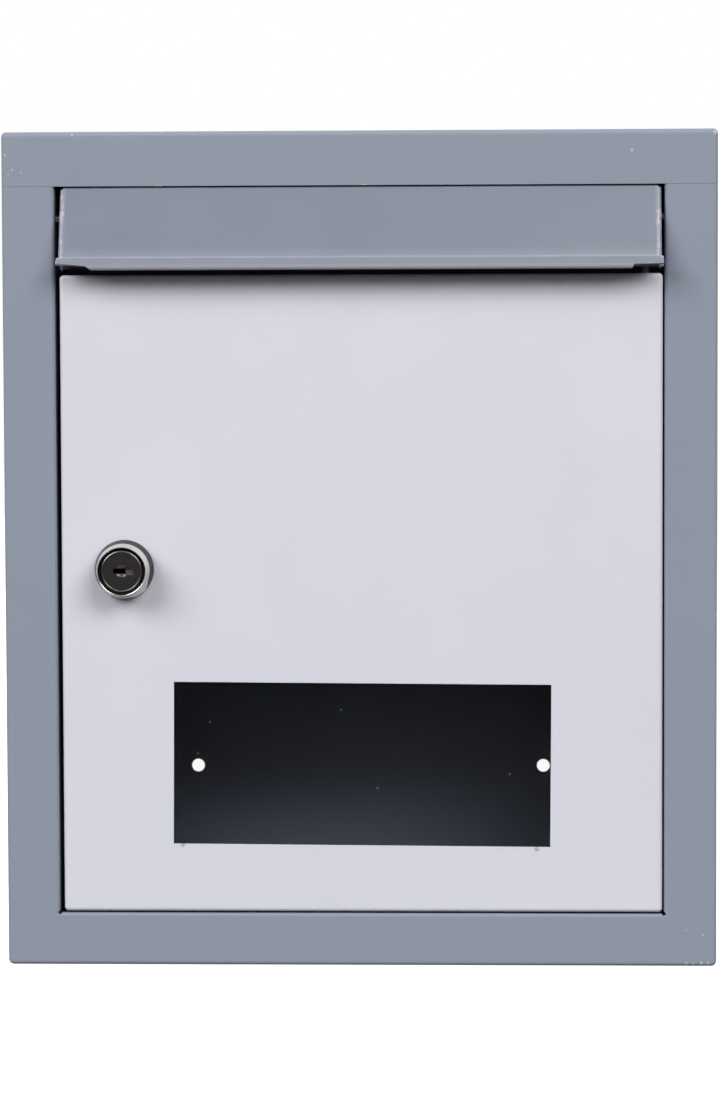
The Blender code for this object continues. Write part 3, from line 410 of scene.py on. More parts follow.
def softened(mesh: Mesh, edge: float = 0.00012, segments: int = 2) -> Mesh:
    """Rounds the sharp edges of a mesh and evens out its shading.

    Args:
        mesh: Closed mesh.
        edge: Width of the rounding.
        segments: Steps across it.

    Returns:
        The finished mesh.
    """
    obj = linked("soft", mesh)
    bevel = obj.modifiers.new("edges", "BEVEL")
    bevel.width = edge
    bevel.segments = segments
    bevel.limit_method = "ANGLE"
    bevel.angle_limit = ROUNDED_FROM
    rounded = baked(obj)
    rounded.set_sharp_from_angle(angle=SHARP_FROM)
    obj = linked("shaded", rounded)
    obj.modifiers.new("shading", "WEIGHTED_NORMAL").keep_sharp = True
    return baked(obj)


def refined(node: str, edge: float) -> Mesh:
    """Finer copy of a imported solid: its triangles joined to flat faces and its edges rounded.

    Args:
        node: Name of the solid.
        edge: Width of the rounding.

    Returns:
        The finished mesh.
    """
    bm = bmesh.new()
    bm.from_mesh(frame["nodes"][node].data)
    bmesh.ops.remove_doubles(bm, verts=bm.verts, dist=10 * SAME_POINT)
    bmesh.ops.dissolve_limit(bm, angle_limit=math.radians(1), verts=bm.verts, edges=bm.edges)
    return softened(mesh_of(bm), edge)


def joined(meshes: Sequence[Mesh]) -> Mesh:
    """One mesh that holds several closed shapes."""
    bm = bmesh.new()
    for mesh in meshes:
        bm.from_mesh(mesh)
    mesh = bpy.data.meshes.new("shapes")
    bm.to_mesh(mesh)
    bm.free()
    mesh.shade_smooth()
    return mesh


@dataclass(frozen=True)
class Bore:
    """Round hole: its middle, its axis, its radius and half its length."""

    middle: Triple
    axis: Axis
    radius: float
    reach: float

    def cutter(self) -> Mesh:
        """Mesh that cuts the hole."""
        mesh = rod(self.radius, -self.reach, self.reach)
        mesh.transform(Matrix.Translation(self.middle) @ self.axis.turn())
        return mesh


def bored(mesh: Mesh, bores: Sequence[Bore]) -> Mesh:
    """A mesh with holes through it."""
    return combined(mesh, [bore.cutter() for bore in bores], Cut.AWAY)


class NodeGraph:
    """Short ways to add and join the nodes of one tree."""

    def __init__(self, tree: bpy.types.NodeTree) -> None:
        """Starts on a tree."""
        self.tree = tree

    def feed(self, socket: Socket, value: object) -> None:
        """Joins a socket to an output, or sets it."""
        if isinstance(value, Socket):
            self.tree.links.new(value, socket)
        else:
            socket.default_value = value

    def add(
        self, kind: str, feeds: dict[str | int, object] | None = None, **settings: object
    ) -> bpy.types.Node:
        """Adds a node.

        Args:
            kind: The node's type.
            feeds: Values or outputs for its inputs, by name or place.
            settings: The node's own properties.

        Returns:
            The node.
        """
        node = self.tree.nodes.new(kind)
        for key, value in settings.items():
            setattr(node, key, value)
        for key, value in (feeds or {}).items():
            self.feed(node.inputs[key], value)
        return node

    def math(self, operation: str, a: object, b: object = 0.0, c: object = 0.0) -> Socket:
        """Output of one sum."""
        return self.add("ShaderNodeMath", {0: a, 1: b, 2: c}, operation=operation).outputs[0]

    def times(self, a: object, b: object) -> Socket:
        """Output of one product."""
        return self.math("MULTIPLY", a, b)

    def vector(self, operation: str, a: object, b: object = (0, 0, 0)) -> Socket:
        """Output of one vector sum: a number where it is a length or a distance."""
        node = self.add("ShaderNodeVectorMath", {0: a, 1: b}, operation=operation)
        return node.outputs["Value" if operation in ("LENGTH", "DISTANCE") else "Vector"]

    def parts(self, vector: object) -> Sequence[Socket]:
        """The three parts of a vector."""
        return self.add("ShaderNodeSeparateXYZ", {0: vector}).outputs

    def whole(self, x: object = 0.0, y: object = 0.0, z: object = 0.0) -> Socket:
        """A vector of three parts."""
        return self.add("ShaderNodeCombineXYZ", {0: x, 1: y, 2: z}).outputs[0]

    def span(
        self, value: object, low: float, high: float, first: object = 0.0, last: object = 1.0
    ) -> Socket:
        """Smooth step of a value.

        Args:
            value: Number to map.
            low: Where the step starts.
            high: Where it ends.
            first: Result at and before low.
            last: Result at and after high.

        Returns:
            The mapped output.
        """
        feeds = {"Value": value, "From Min": low, "From Max": high, "To Min": first, "To Max": last}
        return self.add("ShaderNodeMapRange", feeds, interpolation_type="SMOOTHSTEP").outputs[0]

    def noise(
        self, place: object, scale: object, detail: float = 2.0, rough: float = 0.5
    ) -> Socket:
        """Smooth noise of a given scale."""
        feeds = {"Vector": place, "Scale": scale, "Detail": detail, "Roughness": rough}
        return self.add("ShaderNodeTexNoise", feeds).outputs[0]

    def blend(self, amount: object, a: object, b: object) -> Socket:
        """Colour between two."""
        return self.add("ShaderNodeMix", {0: amount, 6: a, 7: b}, data_type="RGBA").outputs[2]

    def most(self, masks: Sequence[object]) -> object:
        """Largest of several masks."""
        top = masks[0]
        for mask in masks[1:]:
            top = self.math("MAXIMUM", top, mask)
        return top


class Effect:
    """Shader node group that several finishes share, built once."""

    FLOAT = "NodeSocketFloat"
    VECTOR = "NodeSocketVector"

    def __init__(self, name: str, inputs: dict[str, object], outputs: Sequence[str]) -> None:
        """Makes the group's sockets.

        Args:
            name: The group's name.
            inputs: Default of each named input; a tuple makes it a vector.
            outputs: Names of its outputs.
        """
        self.tree = bpy.data.node_groups.new(name, "ShaderNodeTree")
        for label, default in inputs.items():
            kind = self.VECTOR if isinstance(default, tuple) else self.FLOAT
            socket = self.tree.interface.new_socket(label, in_out="INPUT", socket_type=kind)
            socket.default_value = default
        for label in outputs:
            self.tree.interface.new_socket(label, in_out="OUTPUT", socket_type=self.FLOAT)
        self.graph = NodeGraph(self.tree)
        self.given = self.tree.nodes.new("NodeGroupInput").outputs
        self.result = self.tree.nodes.new("NodeGroupOutput").inputs

    def put_out(self, label: str, value: object) -> None:
        """Joins one of the group's outputs."""
        self.graph.feed(self.result[label], value)

    def place(self, graph: NodeGraph, **feeds: object) -> bpy.types.Node:
        """Places the group in a material, with its own values."""
        named = {label.replace("_", " "): value for label, value in feeds.items()}
        return graph.add("ShaderNodeGroup", named, node_tree=self.tree)

    def mask(self, graph: NodeGraph, place: object, **feeds: object) -> Socket:
        """Places the group at the given coordinates and gives its first output."""
        return self.place(graph, Vector=place, **feeds).outputs[0]


class Effects:
    """The shared effects of the box's finishes."""

    def __init__(self) -> None:
        """Builds every group."""
        self.peel = self.build_peel()
        self.chips = self.build_chips()
        self.spot = self.build_spot()
        self.rim = self.build_rim()
        self.dust = self.build_dust()
        self.hairlines = self.build_hairlines()
        self.within = self.build_within()

    def build_peel(self) -> Effect:
        """Orange peel of baked powder paint, and the slow waves of its sheet."""
        effect = Effect("powder_peel", {"Vector": (0, 0, 0), "Size": 0.001}, ("Height", "Mottle"))
        graph, given = effect.graph, effect.given
        fine = graph.noise(given["Vector"], graph.math("DIVIDE", 1.0, given["Size"]), 1.5)
        waves = graph.noise(given["Vector"], graph.math("DIVIDE", 0.06, given["Size"]), 1.0)
        cloud = graph.noise(given["Vector"], graph.math("DIVIDE", 0.03, given["Size"]), 3.0, 0.6)
        grit = graph.noise(given["Vector"], graph.math("DIVIDE", 2.2, given["Size"]), 1.0)
        effect.put_out("Height", graph.math("MULTIPLY_ADD", waves, 4.0, fine))
        effect.put_out("Mottle", graph.math("MULTIPLY_ADD", grit, 0.35, cloud))
        return effect

    def build_chips(self) -> Effect:
        """Chips along worn edges: none where Edge is 0, most where it is 1."""
        inputs = {"Vector": (0, 0, 0), "Edge": 0.0, "Amount": 0.5, "Size": 0.001}
        effect = Effect("edge_chips", inputs, ("Mask",))
        graph, given = effect.graph, effect.given
        scale = graph.math("DIVIDE", 1.0, given["Size"])
        grain = graph.noise(given["Vector"], scale, 3.0, 0.7)
        patches = graph.noise(given["Vector"], graph.times(scale, 0.14), 2.0)
        level = graph.math("MULTIPLY_ADD", patches, 0.5, graph.times(grain, 0.5))
        reach = graph.times(given["Edge"], given["Amount"])
        over = graph.math("SUBTRACT", graph.math("MULTIPLY_ADD", reach, 0.42, level), 0.72)
        effect.put_out("Mask", graph.span(over, 0.0, 0.03))
        return effect

    def build_spot(self) -> Effect:
        """One chip or mark of ragged outline round a given centre."""
        inputs = {"Vector": (0, 0, 0), "Centre": (0, 0, 0), "Radius": 0.001}
        effect = Effect("single_mark", inputs, ("Mask",))
        graph, given = effect.graph, effect.given
        away = graph.vector("DISTANCE", given["Vector"], given["Centre"])
        ragged = graph.noise(given["Vector"], graph.math("DIVIDE", 0.9, given["Radius"]), 2.0)
        reach = graph.times(given["Radius"], graph.math("MULTIPLY_ADD", ragged, 1.6, 0.2))
        ratio = graph.math("DIVIDE", away, graph.math("MAXIMUM", reach, 0.00001))
        effect.put_out("Mask", graph.span(ratio, 0.8, 1.1, 1.0, 0.0))
        return effect

    def build_rim(self) -> Effect:
        """Band along the front edges of an upright rectangle."""
        inputs = {"Vector": (0, 0, 0), "Middle": (0, 0, 0)}
        inputs |= {"Half Width": 0.1, "Half Height": 0.1, "Band": 0.001}
        effect = Effect("rim_band", inputs, ("Mask",))
        graph, given = effect.graph, effect.given
        gap = graph.vector("SUBTRACT", given["Vector"], given["Middle"])
        parts = graph.parts(gap)
        across = graph.math("SUBTRACT", graph.math("ABSOLUTE", parts["X"]), given["Half Width"])
        upward = graph.math("SUBTRACT", graph.math("ABSOLUTE", parts["Z"]), given["Half Height"])
        away = graph.math("ABSOLUTE", graph.math("MAXIMUM", across, upward))
        away = graph.math("MAXIMUM", away, graph.math("ABSOLUTE", parts["Y"]))
        ratio = graph.math("DIVIDE", away, given["Band"])
        effect.put_out("Mask", graph.span(ratio, 0.0, 1.0, 1.0, 0.0))
        return effect

    def build_dust(self) -> Effect:
        """Fine scattered specks."""
        inputs = {"Vector": (0, 0, 0), "Spacing": 0.004, "Share": 0.2, "Size": 0.1}
        effect = Effect("dust_specks", inputs, ("Mask",))
        graph, given = effect.graph, effect.given
        feeds = {"Vector": given["Vector"], "Scale": graph.math("DIVIDE", 1.0, given["Spacing"])}
        cells = graph.add("ShaderNodeTexVoronoi", feeds)
        pick = graph.add("ShaderNodeSeparateColor", {0: cells.outputs["Color"]}).outputs
        kept = graph.math("LESS_THAN", pick[0], given["Share"])
        reach = graph.times(given["Size"], graph.math("ADD", pick[1], 0.3))
        near = graph.math("LESS_THAN", cells.outputs["Distance"], reach)
        effect.put_out("Mask", graph.times(kept, near))
        return effect

    def build_hairlines(self) -> Effect:
        """Fine lines drawn out along one direction, as rolling or polishing leaves them."""
        inputs = {"Vector": (0, 0, 0), "Stretch": (1.0, 1.0, 1.0), "Size": 0.0004}
        effect = Effect("hairlines", inputs, ("Height", "Mask"))
        graph, given = effect.graph, effect.given
        drawn = graph.vector("MULTIPLY", given["Vector"], given["Stretch"])
        lines = graph.noise(drawn, graph.math("DIVIDE", 1.0, given["Size"]), 3.0, 0.65)
        effect.put_out("Height", lines)
        effect.put_out("Mask", graph.span(lines, 0.6, 0.72))
        return effect

    def build_within(self) -> Effect:
        """Everything inside an upright block."""
        inputs = {"Vector": (0, 0, 0), "Middle": (0, 0, 0), "Half": (0.1, 0.1, 0.1)}
        effect = Effect("within_block", inputs, ("Mask",))
        graph, given = effect.graph, effect.given
        gap = graph.vector("SUBTRACT", given["Vector"], given["Middle"])
        over = graph.vector("SUBTRACT", graph.vector("ABSOLUTE", gap), given["Half"])
        effect.put_out("Mask", graph.math("LESS_THAN", graph.most(list(graph.parts(over))), 0.0))
        return effect


EFFECTS = Effects()


@dataclass(frozen=True)
class Mark:
    """One chip, mark or pressed dimple on a finish: its centre and its radius."""

    centre: Triple
    radius: float

    @staticmethod
    def together(marks: Sequence["Mark"], graph: NodeGraph, place: object) -> Socket:
        """Mask of several marks."""
        spot = EFFECTS.spot
        masks = [spot.mask(graph, place, Centre=m.centre, Radius=m.radius) for m in marks]
        return graph.most(masks)


@dataclass(frozen=True)
class Band:
    """Front edges of an upright rectangle where paint wears: middle, half sizes and reach."""

    middle: Triple
    half_width: float
    half_height: float
    reach: float

    def mask(self, graph: NodeGraph, place: object) -> Socket:
        """1 on the edges, falling to 0 at the band's reach."""
        half = {"Half_Width": self.half_width, "Half_Height": self.half_height}
        return EFFECTS.rim.mask(graph, place, Middle=self.middle, Band=self.reach, **half)


@dataclass(frozen=True)
class PaintedInnerShade:
    """Inside of a casing, where painted shade darkens the paint: middle, half sizes and colour."""

    middle: Triple
    half: Triple
    colour: Triple


@dataclass(frozen=True)
class Finish:
    """A named surface finish."""

    name: str
    colour: Triple
    roughness: float

    def start(self) -> tuple[Material, NodeGraph, bpy.types.Node, Socket]:
        """Makes the material with its plain values.

        Returns:
            The material, its graph, its shader and the object coordinates.
        """
        material = bpy.data.materials.new(self.name)
        material.use_nodes = True
        graph = NodeGraph(material.node_tree)
        shader = material.node_tree.nodes["Principled BSDF"]
        shader.inputs["Base Color"].default_value = (*self.colour, 1.0)
        shader.inputs["Roughness"].default_value = self.roughness
        place = graph.add("ShaderNodeTexCoord").outputs["Object"]
        return material, graph, shader, place

    @staticmethod
    def emboss(graph: NodeGraph, shader: bpy.types.Node, height: object, depth: float) -> None:
        """Turns a height into the shader's normal."""
        bump = graph.add("ShaderNodeBump", {"Strength": 1.0, "Distance": depth, "Height": height})
        graph.feed(shader.inputs["Normal"], bump.outputs[0])


@dataclass(frozen=True)
class PowderCoat(Finish):
    """Baked powder paint on sheet steel, chipped along its worn edges."""

    peel: float = 0.0012
    depth: float = 0.000012
    mottle: float = 0.012
    chip: Triple = (0.56, 0.58, 0.63)
    chip_size: float = 0.0009
    chip_relief: float = -1.2
    mark_relief: float = -1.5
    dimple_relief: float = -4.0
    wear: float = 0.0
    bands: tuple[Band, ...] = ()
    marks: tuple[Mark, ...] = ()
    marks_colour: Triple = (0.47, 0.50, 0.54)
    dimples: tuple[Mark, ...] = ()
    painted_inner_shade: PaintedInnerShade | None = None
    # Colour that lightens the flap: painted highlight on its knee and lip, painted light on its
    # hem, paint worn pale on its edges
    sheen_and_rub_colour: Triple = (0.56, 0.55, 0.58)
    # Colour of painted shade in the slit under the cap's edge
    painted_slit_shade: Triple = (0.012, 0.014, 0.020)

    def build(self) -> Material:
        """The material."""
        material, graph, shader, place = self.start()
        peel = EFFECTS.peel.place(graph, Vector=place, Size=self.peel).outputs
        dark, light = (tuple(c * (1 + sign * self.mottle) for c in self.colour) for sign in (-1, 1))
        colour = graph.blend(graph.span(peel["Mottle"], 0.4, 0.95), (*dark, 1.0), (*light, 1.0))
        # Painted shade: paint inside the casing is darkened to the inner colour
        if self.painted_inner_shade:
            painted_inner_shade = self.painted_inner_shade
            inner = EFFECTS.within.mask(graph, place, Middle=painted_inner_shade.middle, Half=painted_inner_shade.half)
            colour = graph.blend(inner, colour, (*painted_inner_shade.colour, 1.0))
        # One attribute lightens the flap with painted highlight, painted light and worn paint; the
        # other darkens its top with painted shade
        for name, tint in (("painted_sheen_and_rub", self.sheen_and_rub_colour), ("painted_slit_shade", self.painted_slit_shade)):
            share = graph.add("ShaderNodeAttribute", attribute_name=name).outputs["Fac"]
            colour = graph.blend(share, colour, (*tint, 1.0))
        edge = graph.add("ShaderNodeAttribute", attribute_name="wear").outputs["Fac"]
        edge = graph.most([edge, *(band.mask(graph, place) for band in self.bands)])
        chips = EFFECTS.chips.mask(graph, place, Edge=edge, Amount=self.wear, Size=self.chip_size)
        colour = graph.blend(chips, colour, (*self.chip, 1.0))
        height = graph.math("MULTIPLY_ADD", chips, self.chip_relief, peel["Height"])
        if self.marks:
            marked = Mark.together(self.marks, graph, place)
            colour = graph.blend(marked, colour, (*self.marks_colour, 1.0))
            height = graph.math("MULTIPLY_ADD", marked, self.mark_relief, height)
        if self.dimples:
            pressed = Mark.together(self.dimples, graph, place)
            height = graph.math("MULTIPLY_ADD", pressed, self.dimple_relief, height)
        rough = graph.span(peel["Mottle"], 0.3, 1.0, self.roughness - 0.04, self.roughness + 0.05)
        graph.feed(shader.inputs["Base Color"], colour)
        graph.feed(shader.inputs["Roughness"], rough)
        self.emboss(graph, shader, height, self.depth)
        return material


@dataclass(frozen=True)
class BrightRing:
    """Ring of a front-facing turned part in a brighter colour, reaching deeper at its foot by its
    drop: bright metal whose deeper reach at the foot is a painted reflection, or a painted
    highlight on a rim's crest.
    """

    centre: Triple
    inner: float
    outer: float
    behind: float
    colour: Triple
    roughness: float
    # How much further back the bright colour reaches at the ring's foot: painted reflection
    drop: float = 0.0

    def mask(self, graph: NodeGraph, place: object) -> Socket:
        """1 on the ring and 0 elsewhere."""
        gap = graph.vector("SUBTRACT", place, self.centre)
        parts = graph.parts(gap)
        away = graph.vector("LENGTH", graph.whole(parts["X"], 0.0, parts["Z"]))
        blur = 0.00006
        rising = graph.span(away, self.inner - blur, self.inner + blur)
        falling = graph.span(away, self.outer - blur, self.outer + blur, 1.0, 0.0)
        # Painted reflection: the bright colour reaches further back at the ring's foot
        under = graph.span(parts["Z"], -self.inner, -0.3 * self.inner, self.drop, 0.0)
        deep = graph.math("SUBTRACT", parts["Y"], under)
        near = graph.span(deep, self.behind - blur, self.behind + blur, 1.0, 0.0)
        return graph.times(graph.times(rising, falling), near)


@dataclass(frozen=True)
class PlatedMetal(Finish):
    """Plated or bare metal with fine drawn lines and a little tarnish."""

    stretch: Triple = (1.0, 1.0, 1.0)
    grain: float = 0.0005
    depth: float = 0.000004
    tarnish: Triple = (0.3, 0.3, 0.3)
    tarnish_share: float = 0.25
    ring: BrightRing | None = None

    def build(self) -> Material:
        """The material."""
        material, graph, shader, place = self.start()
        shader.inputs["Metallic"].default_value = 1.0
        drawn = {"Stretch": self.stretch, "Size": self.grain}
        lines = EFFECTS.hairlines.place(graph, Vector=place, **drawn).outputs
        cloud = graph.noise(place, 420.0, 3.0, 0.6)
        stain = graph.span(cloud, 0.75 - self.tarnish_share, 0.95 - self.tarnish_share / 2)
        colour = graph.blend(stain, (*self.colour, 1.0), (*self.tarnish, 1.0))
        rough = graph.math("MULTIPLY_ADD", lines["Mask"], 0.12, self.roughness)
        rough = graph.math("MULTIPLY_ADD", stain, 0.15, rough)
        if self.ring:
            cut = self.ring.mask(graph, place)
            colour = graph.blend(cut, colour, (*self.ring.colour, 1.0))
            rough = graph.span(cut, 0.0, 1.0, rough, self.ring.roughness)
        graph.feed(shader.inputs["Base Color"], colour)
        graph.feed(shader.inputs["Roughness"], rough)
        self.emboss(graph, shader, lines["Height"], self.depth)
        return material


@dataclass(frozen=True)
class ClearSheet(Finish):
    """Clear acrylic sheet with a little dust and a few scratches."""

    marks: tuple[Mark, ...] = ()

    def build(self) -> Material:
        """The material."""
        material, graph, shader, place = self.start()
        shader.inputs["Transmission Weight"].default_value = 1.0
        shader.inputs["IOR"].default_value = 1.49
        dust = EFFECTS.dust.mask(graph, place, Spacing=0.006, Share=0.16, Size=0.05)
        drawn = {"Stretch": (1.0, 1.0, 0.05), "Size": 0.002}
        lines = EFFECTS.hairlines.place(graph, Vector=place, **drawn).outputs
        specks = graph.most([dust, Mark.together(self.marks, graph, place)])
        rough = graph.math("MULTIPLY_ADD", lines["Mask"], 0.03, self.roughness)
        graph.feed(shader.inputs["Roughness"], graph.math("MULTIPLY_ADD", specks, 0.5, rough))
        self.emboss(graph, shader, specks, 0.00004)
        return material


class Recipe:
    """Geometry Nodes tree with named inputs, baked to a plain mesh."""

    def __init__(self, name: str, sizes: dict[str, float | int]) -> None:
        """Makes the tree's sockets.

        Args:
            name: The tree's name.
            sizes: Default of each named input; a whole number makes it a count.
        """
        self.tree = bpy.data.node_groups.new(name, "GeometryNodeTree")
        sockets = self.tree.interface
        sockets.new_socket("Geometry", in_out="INPUT", socket_type="NodeSocketGeometry")
        for label, value in sizes.items():
            kind = "NodeSocketInt" if isinstance(value, int) else "NodeSocketFloat"
            sockets.new_socket(label, in_out="INPUT", socket_type=kind).default_value = value
        sockets.new_socket("Finish", in_out="INPUT", socket_type="NodeSocketMaterial")
        sockets.new_socket("Geometry", in_out="OUTPUT", socket_type="NodeSocketGeometry")
        self.graph = NodeGraph(self.tree)
        self.given = self.tree.nodes.new("NodeGroupInput").outputs

    def close(self, geometry: Socket) -> None:
        """Ends the tree: instances made real, and the finish set."""
        real = self.graph.add("GeometryNodeRealizeInstances", {0: geometry}).outputs[0]
        smooth = self.graph.add("GeometryNodeSetShadeSmooth", {"Geometry": real}).outputs[0]
        feeds = {"Geometry": smooth, "Material": self.given["Finish"]}
        dressed = self.graph.add("GeometryNodeSetMaterial", feeds).outputs[0]
        self.graph.feed(self.tree.nodes.new("NodeGroupOutput").inputs[0], dressed)

    def bake(self, start: Mesh, finish: Material, **sizes: float) -> Mesh:
        """Runs the tree on a mesh.

        Args:
            start: Mesh that goes in.
            finish: Material of the result.
            sizes: Values of the named inputs.

        Returns:
            The plain mesh.
        """
        obj = linked("recipe", start)
        modifier = obj.modifiers.new(self.tree.name, "NODES")
        modifier.node_group = self.tree
        values = {label.replace("_", " "): value for label, value in sizes.items()}
        values["Finish"] = finish
        for item in self.tree.interface.items_tree:
            if item.item_type == "SOCKET" and item.in_out == "INPUT" and item.name in values:
                modifier[item.identifier] = values[item.name]
        return baked(obj)


class WeldSpots(Recipe):
    """Spot welds: a shallow coin with a pressed middle at each point, facing the sheet's way."""

    def __init__(self) -> None:
        """Builds the tree."""
        super().__init__("weld_spots", {"Radius": 0.0021, "Rise": 0.00016})
        graph, given = self.graph, self.given
        feeds = {
            "Vertices": 28,
            "Side Segments": 2,
            "Fill Segments": 4,
            "Radius Top": graph.times(given["Radius"], 0.72),
            "Radius Bottom": given["Radius"],
            "Depth": graph.times(given["Rise"], 2.0),
        }
        coin = graph.add("GeometryNodeMeshCone", feeds).outputs["Mesh"]
        spot = graph.add("GeometryNodeInputPosition").outputs[0]
        parts = graph.parts(spot)
        out = graph.vector("LENGTH", graph.whole(parts[0], parts[1]))
        middle = graph.math("DIVIDE", out, given["Radius"])
        dip = graph.span(middle, 0.2, 0.6, 1.0, 0.0)
        top = graph.math("GREATER_THAN", parts[2], given["Rise"])
        drop = graph.times(graph.times(dip, top), graph.times(given["Rise"], -0.8))
        drop = graph.math("SUBTRACT", drop, given["Rise"])
        shift = graph.whole(z=drop)
        coin = graph.add("GeometryNodeSetPosition", {"Geometry": coin, "Offset": shift}).outputs[0]
        kind, feeds = "GeometryNodeInputNamedAttribute", {"Name": "facing"}
        facing = graph.add(kind, feeds, data_type="FLOAT_VECTOR").outputs[0]
        turn = graph.add("FunctionNodeAlignRotationToVector", {"Vector": facing}, axis="Z")
        feeds = {"Points": given["Geometry"], "Instance": coin, "Rotation": turn.outputs[0]}
        self.close(graph.add("GeometryNodeInstanceOnPoints", feeds).outputs[0])

    def on(self, spots: Sequence[Triple], facing: Triple, finish: Material) -> Mesh:
        """Welds at the given spots of one sheet.

        Args:
            spots: Their places.
            facing: The way that the sheet's surface faces.
            finish: Paint over them.

        Returns:
            The mesh of all of them.
        """
        points = bpy.data.meshes.new("points")
        points.from_pydata(spots, [], [])
        way = points.attributes.new("facing", "FLOAT_VECTOR", "POINT")
        for entry in way.data:
            entry.vector = facing
        return self.bake(points, finish)


class RetainerTeeth(Recipe):
    """Teeth of a push-on retainer: a ring of bent tongues that grip the pin."""

    def __init__(self) -> None:
        """Builds the tree."""
        sizes = {
            "Count": 6,
            "Radius": 0.0022,
            "Length": 0.0012,
            "Width": 0.0009,
            "Sheet": 0.0003,
            "Tilt": 0.5,
        }
        super().__init__("retainer_teeth", sizes)
        graph, given = self.graph, self.given
        feeds = {"Vertices": given["Count"], "Radius": given["Radius"]}
        ring = graph.add("GeometryNodeMeshCircle", feeds).outputs[0]
        size = graph.whole(given["Length"], given["Width"], given["Sheet"])
        tooth = graph.add("GeometryNodeMeshCube", {"Size": size}).outputs["Mesh"]
        tilt = graph.whole(y=given["Tilt"])
        tooth = graph.add("GeometryNodeTransform", {"Geometry": tooth, "Rotation": tilt}).outputs[0]
        spot = graph.add("GeometryNodeInputPosition").outputs[0]
        kind, ways = "FunctionNodeAlignRotationToVector", {"axis": "X", "pivot_axis": "Z"}
        turn = graph.add(kind, {"Vector": spot}, **ways)
        feeds = {"Points": ring, "Instance": tooth, "Rotation": turn.outputs[0]}
        teeth = graph.add("GeometryNodeInstanceOnPoints", feeds).outputs[0]
        both = graph.add("GeometryNodeJoinGeometry")
        graph.feed(both.inputs[0], teeth)
        graph.feed(both.inputs[0], given["Geometry"])
        self.close(both.outputs[0])


class BarrelThread(Recipe):
    """Helical ridge of a screw thread that two flats cut away above and below."""

    def __init__(self) -> None:
        """Builds the tree."""
        sizes = {"Radius": 0.009, "Pitch": 0.001, "Depth": 0.0003}
        sizes |= {"Turns": 10.0, "Half Flats": 0.008}
        super().__init__("barrel_thread", sizes)
        graph, given = self.graph, self.given
        feeds = {
            "Resolution": 56,
            "Rotations": given["Turns"],
            "Start Radius": given["Radius"],
            "End Radius": given["Radius"],
            "Height": graph.times(given["Turns"], given["Pitch"]),
        }
        helix = graph.add("GeometryNodeCurveSpiral", feeds).outputs[0]
        helix = graph.add("GeometryNodeSetCurveNormal", {"Curve": helix}, mode="Z_UP").outputs[0]
        feeds = {"Resolution": 4, "Radius": given["Depth"]}
        section = graph.add("GeometryNodeCurvePrimitiveCircle", feeds)
        feeds = {"Curve": helix, "Profile Curve": section.outputs[0], "Fill Caps": True}
        ridge = graph.add("GeometryNodeCurveToMesh", feeds).outputs[0]
        spot = graph.add("GeometryNodeInputPosition").outputs[0]
        parts = graph.parts(spot)
        low = graph.math("MAXIMUM", parts[1], graph.times(given["Half Flats"], -1.0))
        flat = graph.math("MINIMUM", low, given["Half Flats"])
        moved = graph.whole(parts[0], flat, parts[2])
        feeds = {"Geometry": ridge, "Position": moved}
        self.close(graph.add("GeometryNodeSetPosition", feeds).outputs[0])


@dataclass
class Workshop:
    """Puts finished pieces in the scene and reports them."""

    pieces: list[bpy.types.Object] = field(default_factory=list)

    def install(
        self,
        name: str,
        mesh: Mesh,
        finish: Material,
        body: Body,
        slot: str,
        nodes: Sequence[str] = (),
    ) -> bpy.types.Object:
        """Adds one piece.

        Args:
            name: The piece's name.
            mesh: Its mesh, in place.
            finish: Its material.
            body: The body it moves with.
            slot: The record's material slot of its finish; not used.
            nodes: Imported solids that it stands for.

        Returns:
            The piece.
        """
        mesh.name = name
        mesh.materials.clear()
        mesh.materials.append(finish)
        piece = linked(name, mesh)
        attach(piece, body.value)
        if nodes:
            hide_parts(*nodes)
        self.pieces.append(piece)
        LOG.info("%s: %d faces on %s", name, len(mesh.polygons), body.value)
        return piece

    def install_all(
        self,
        pieces: dict[str, tuple[Mesh, str]],
        finish: Material,
        body: Body,
        slot: str,
    ) -> None:
        """Adds several pieces of one finish.

        Args:
            pieces: Mesh of each piece by its name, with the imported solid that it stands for.
            finish: Their material.
            body: The body they move with.
            slot: The record's material slot of that material.
        """
        for name, (mesh, node) in pieces.items():
            self.install(name, mesh, finish, body, slot, [node])


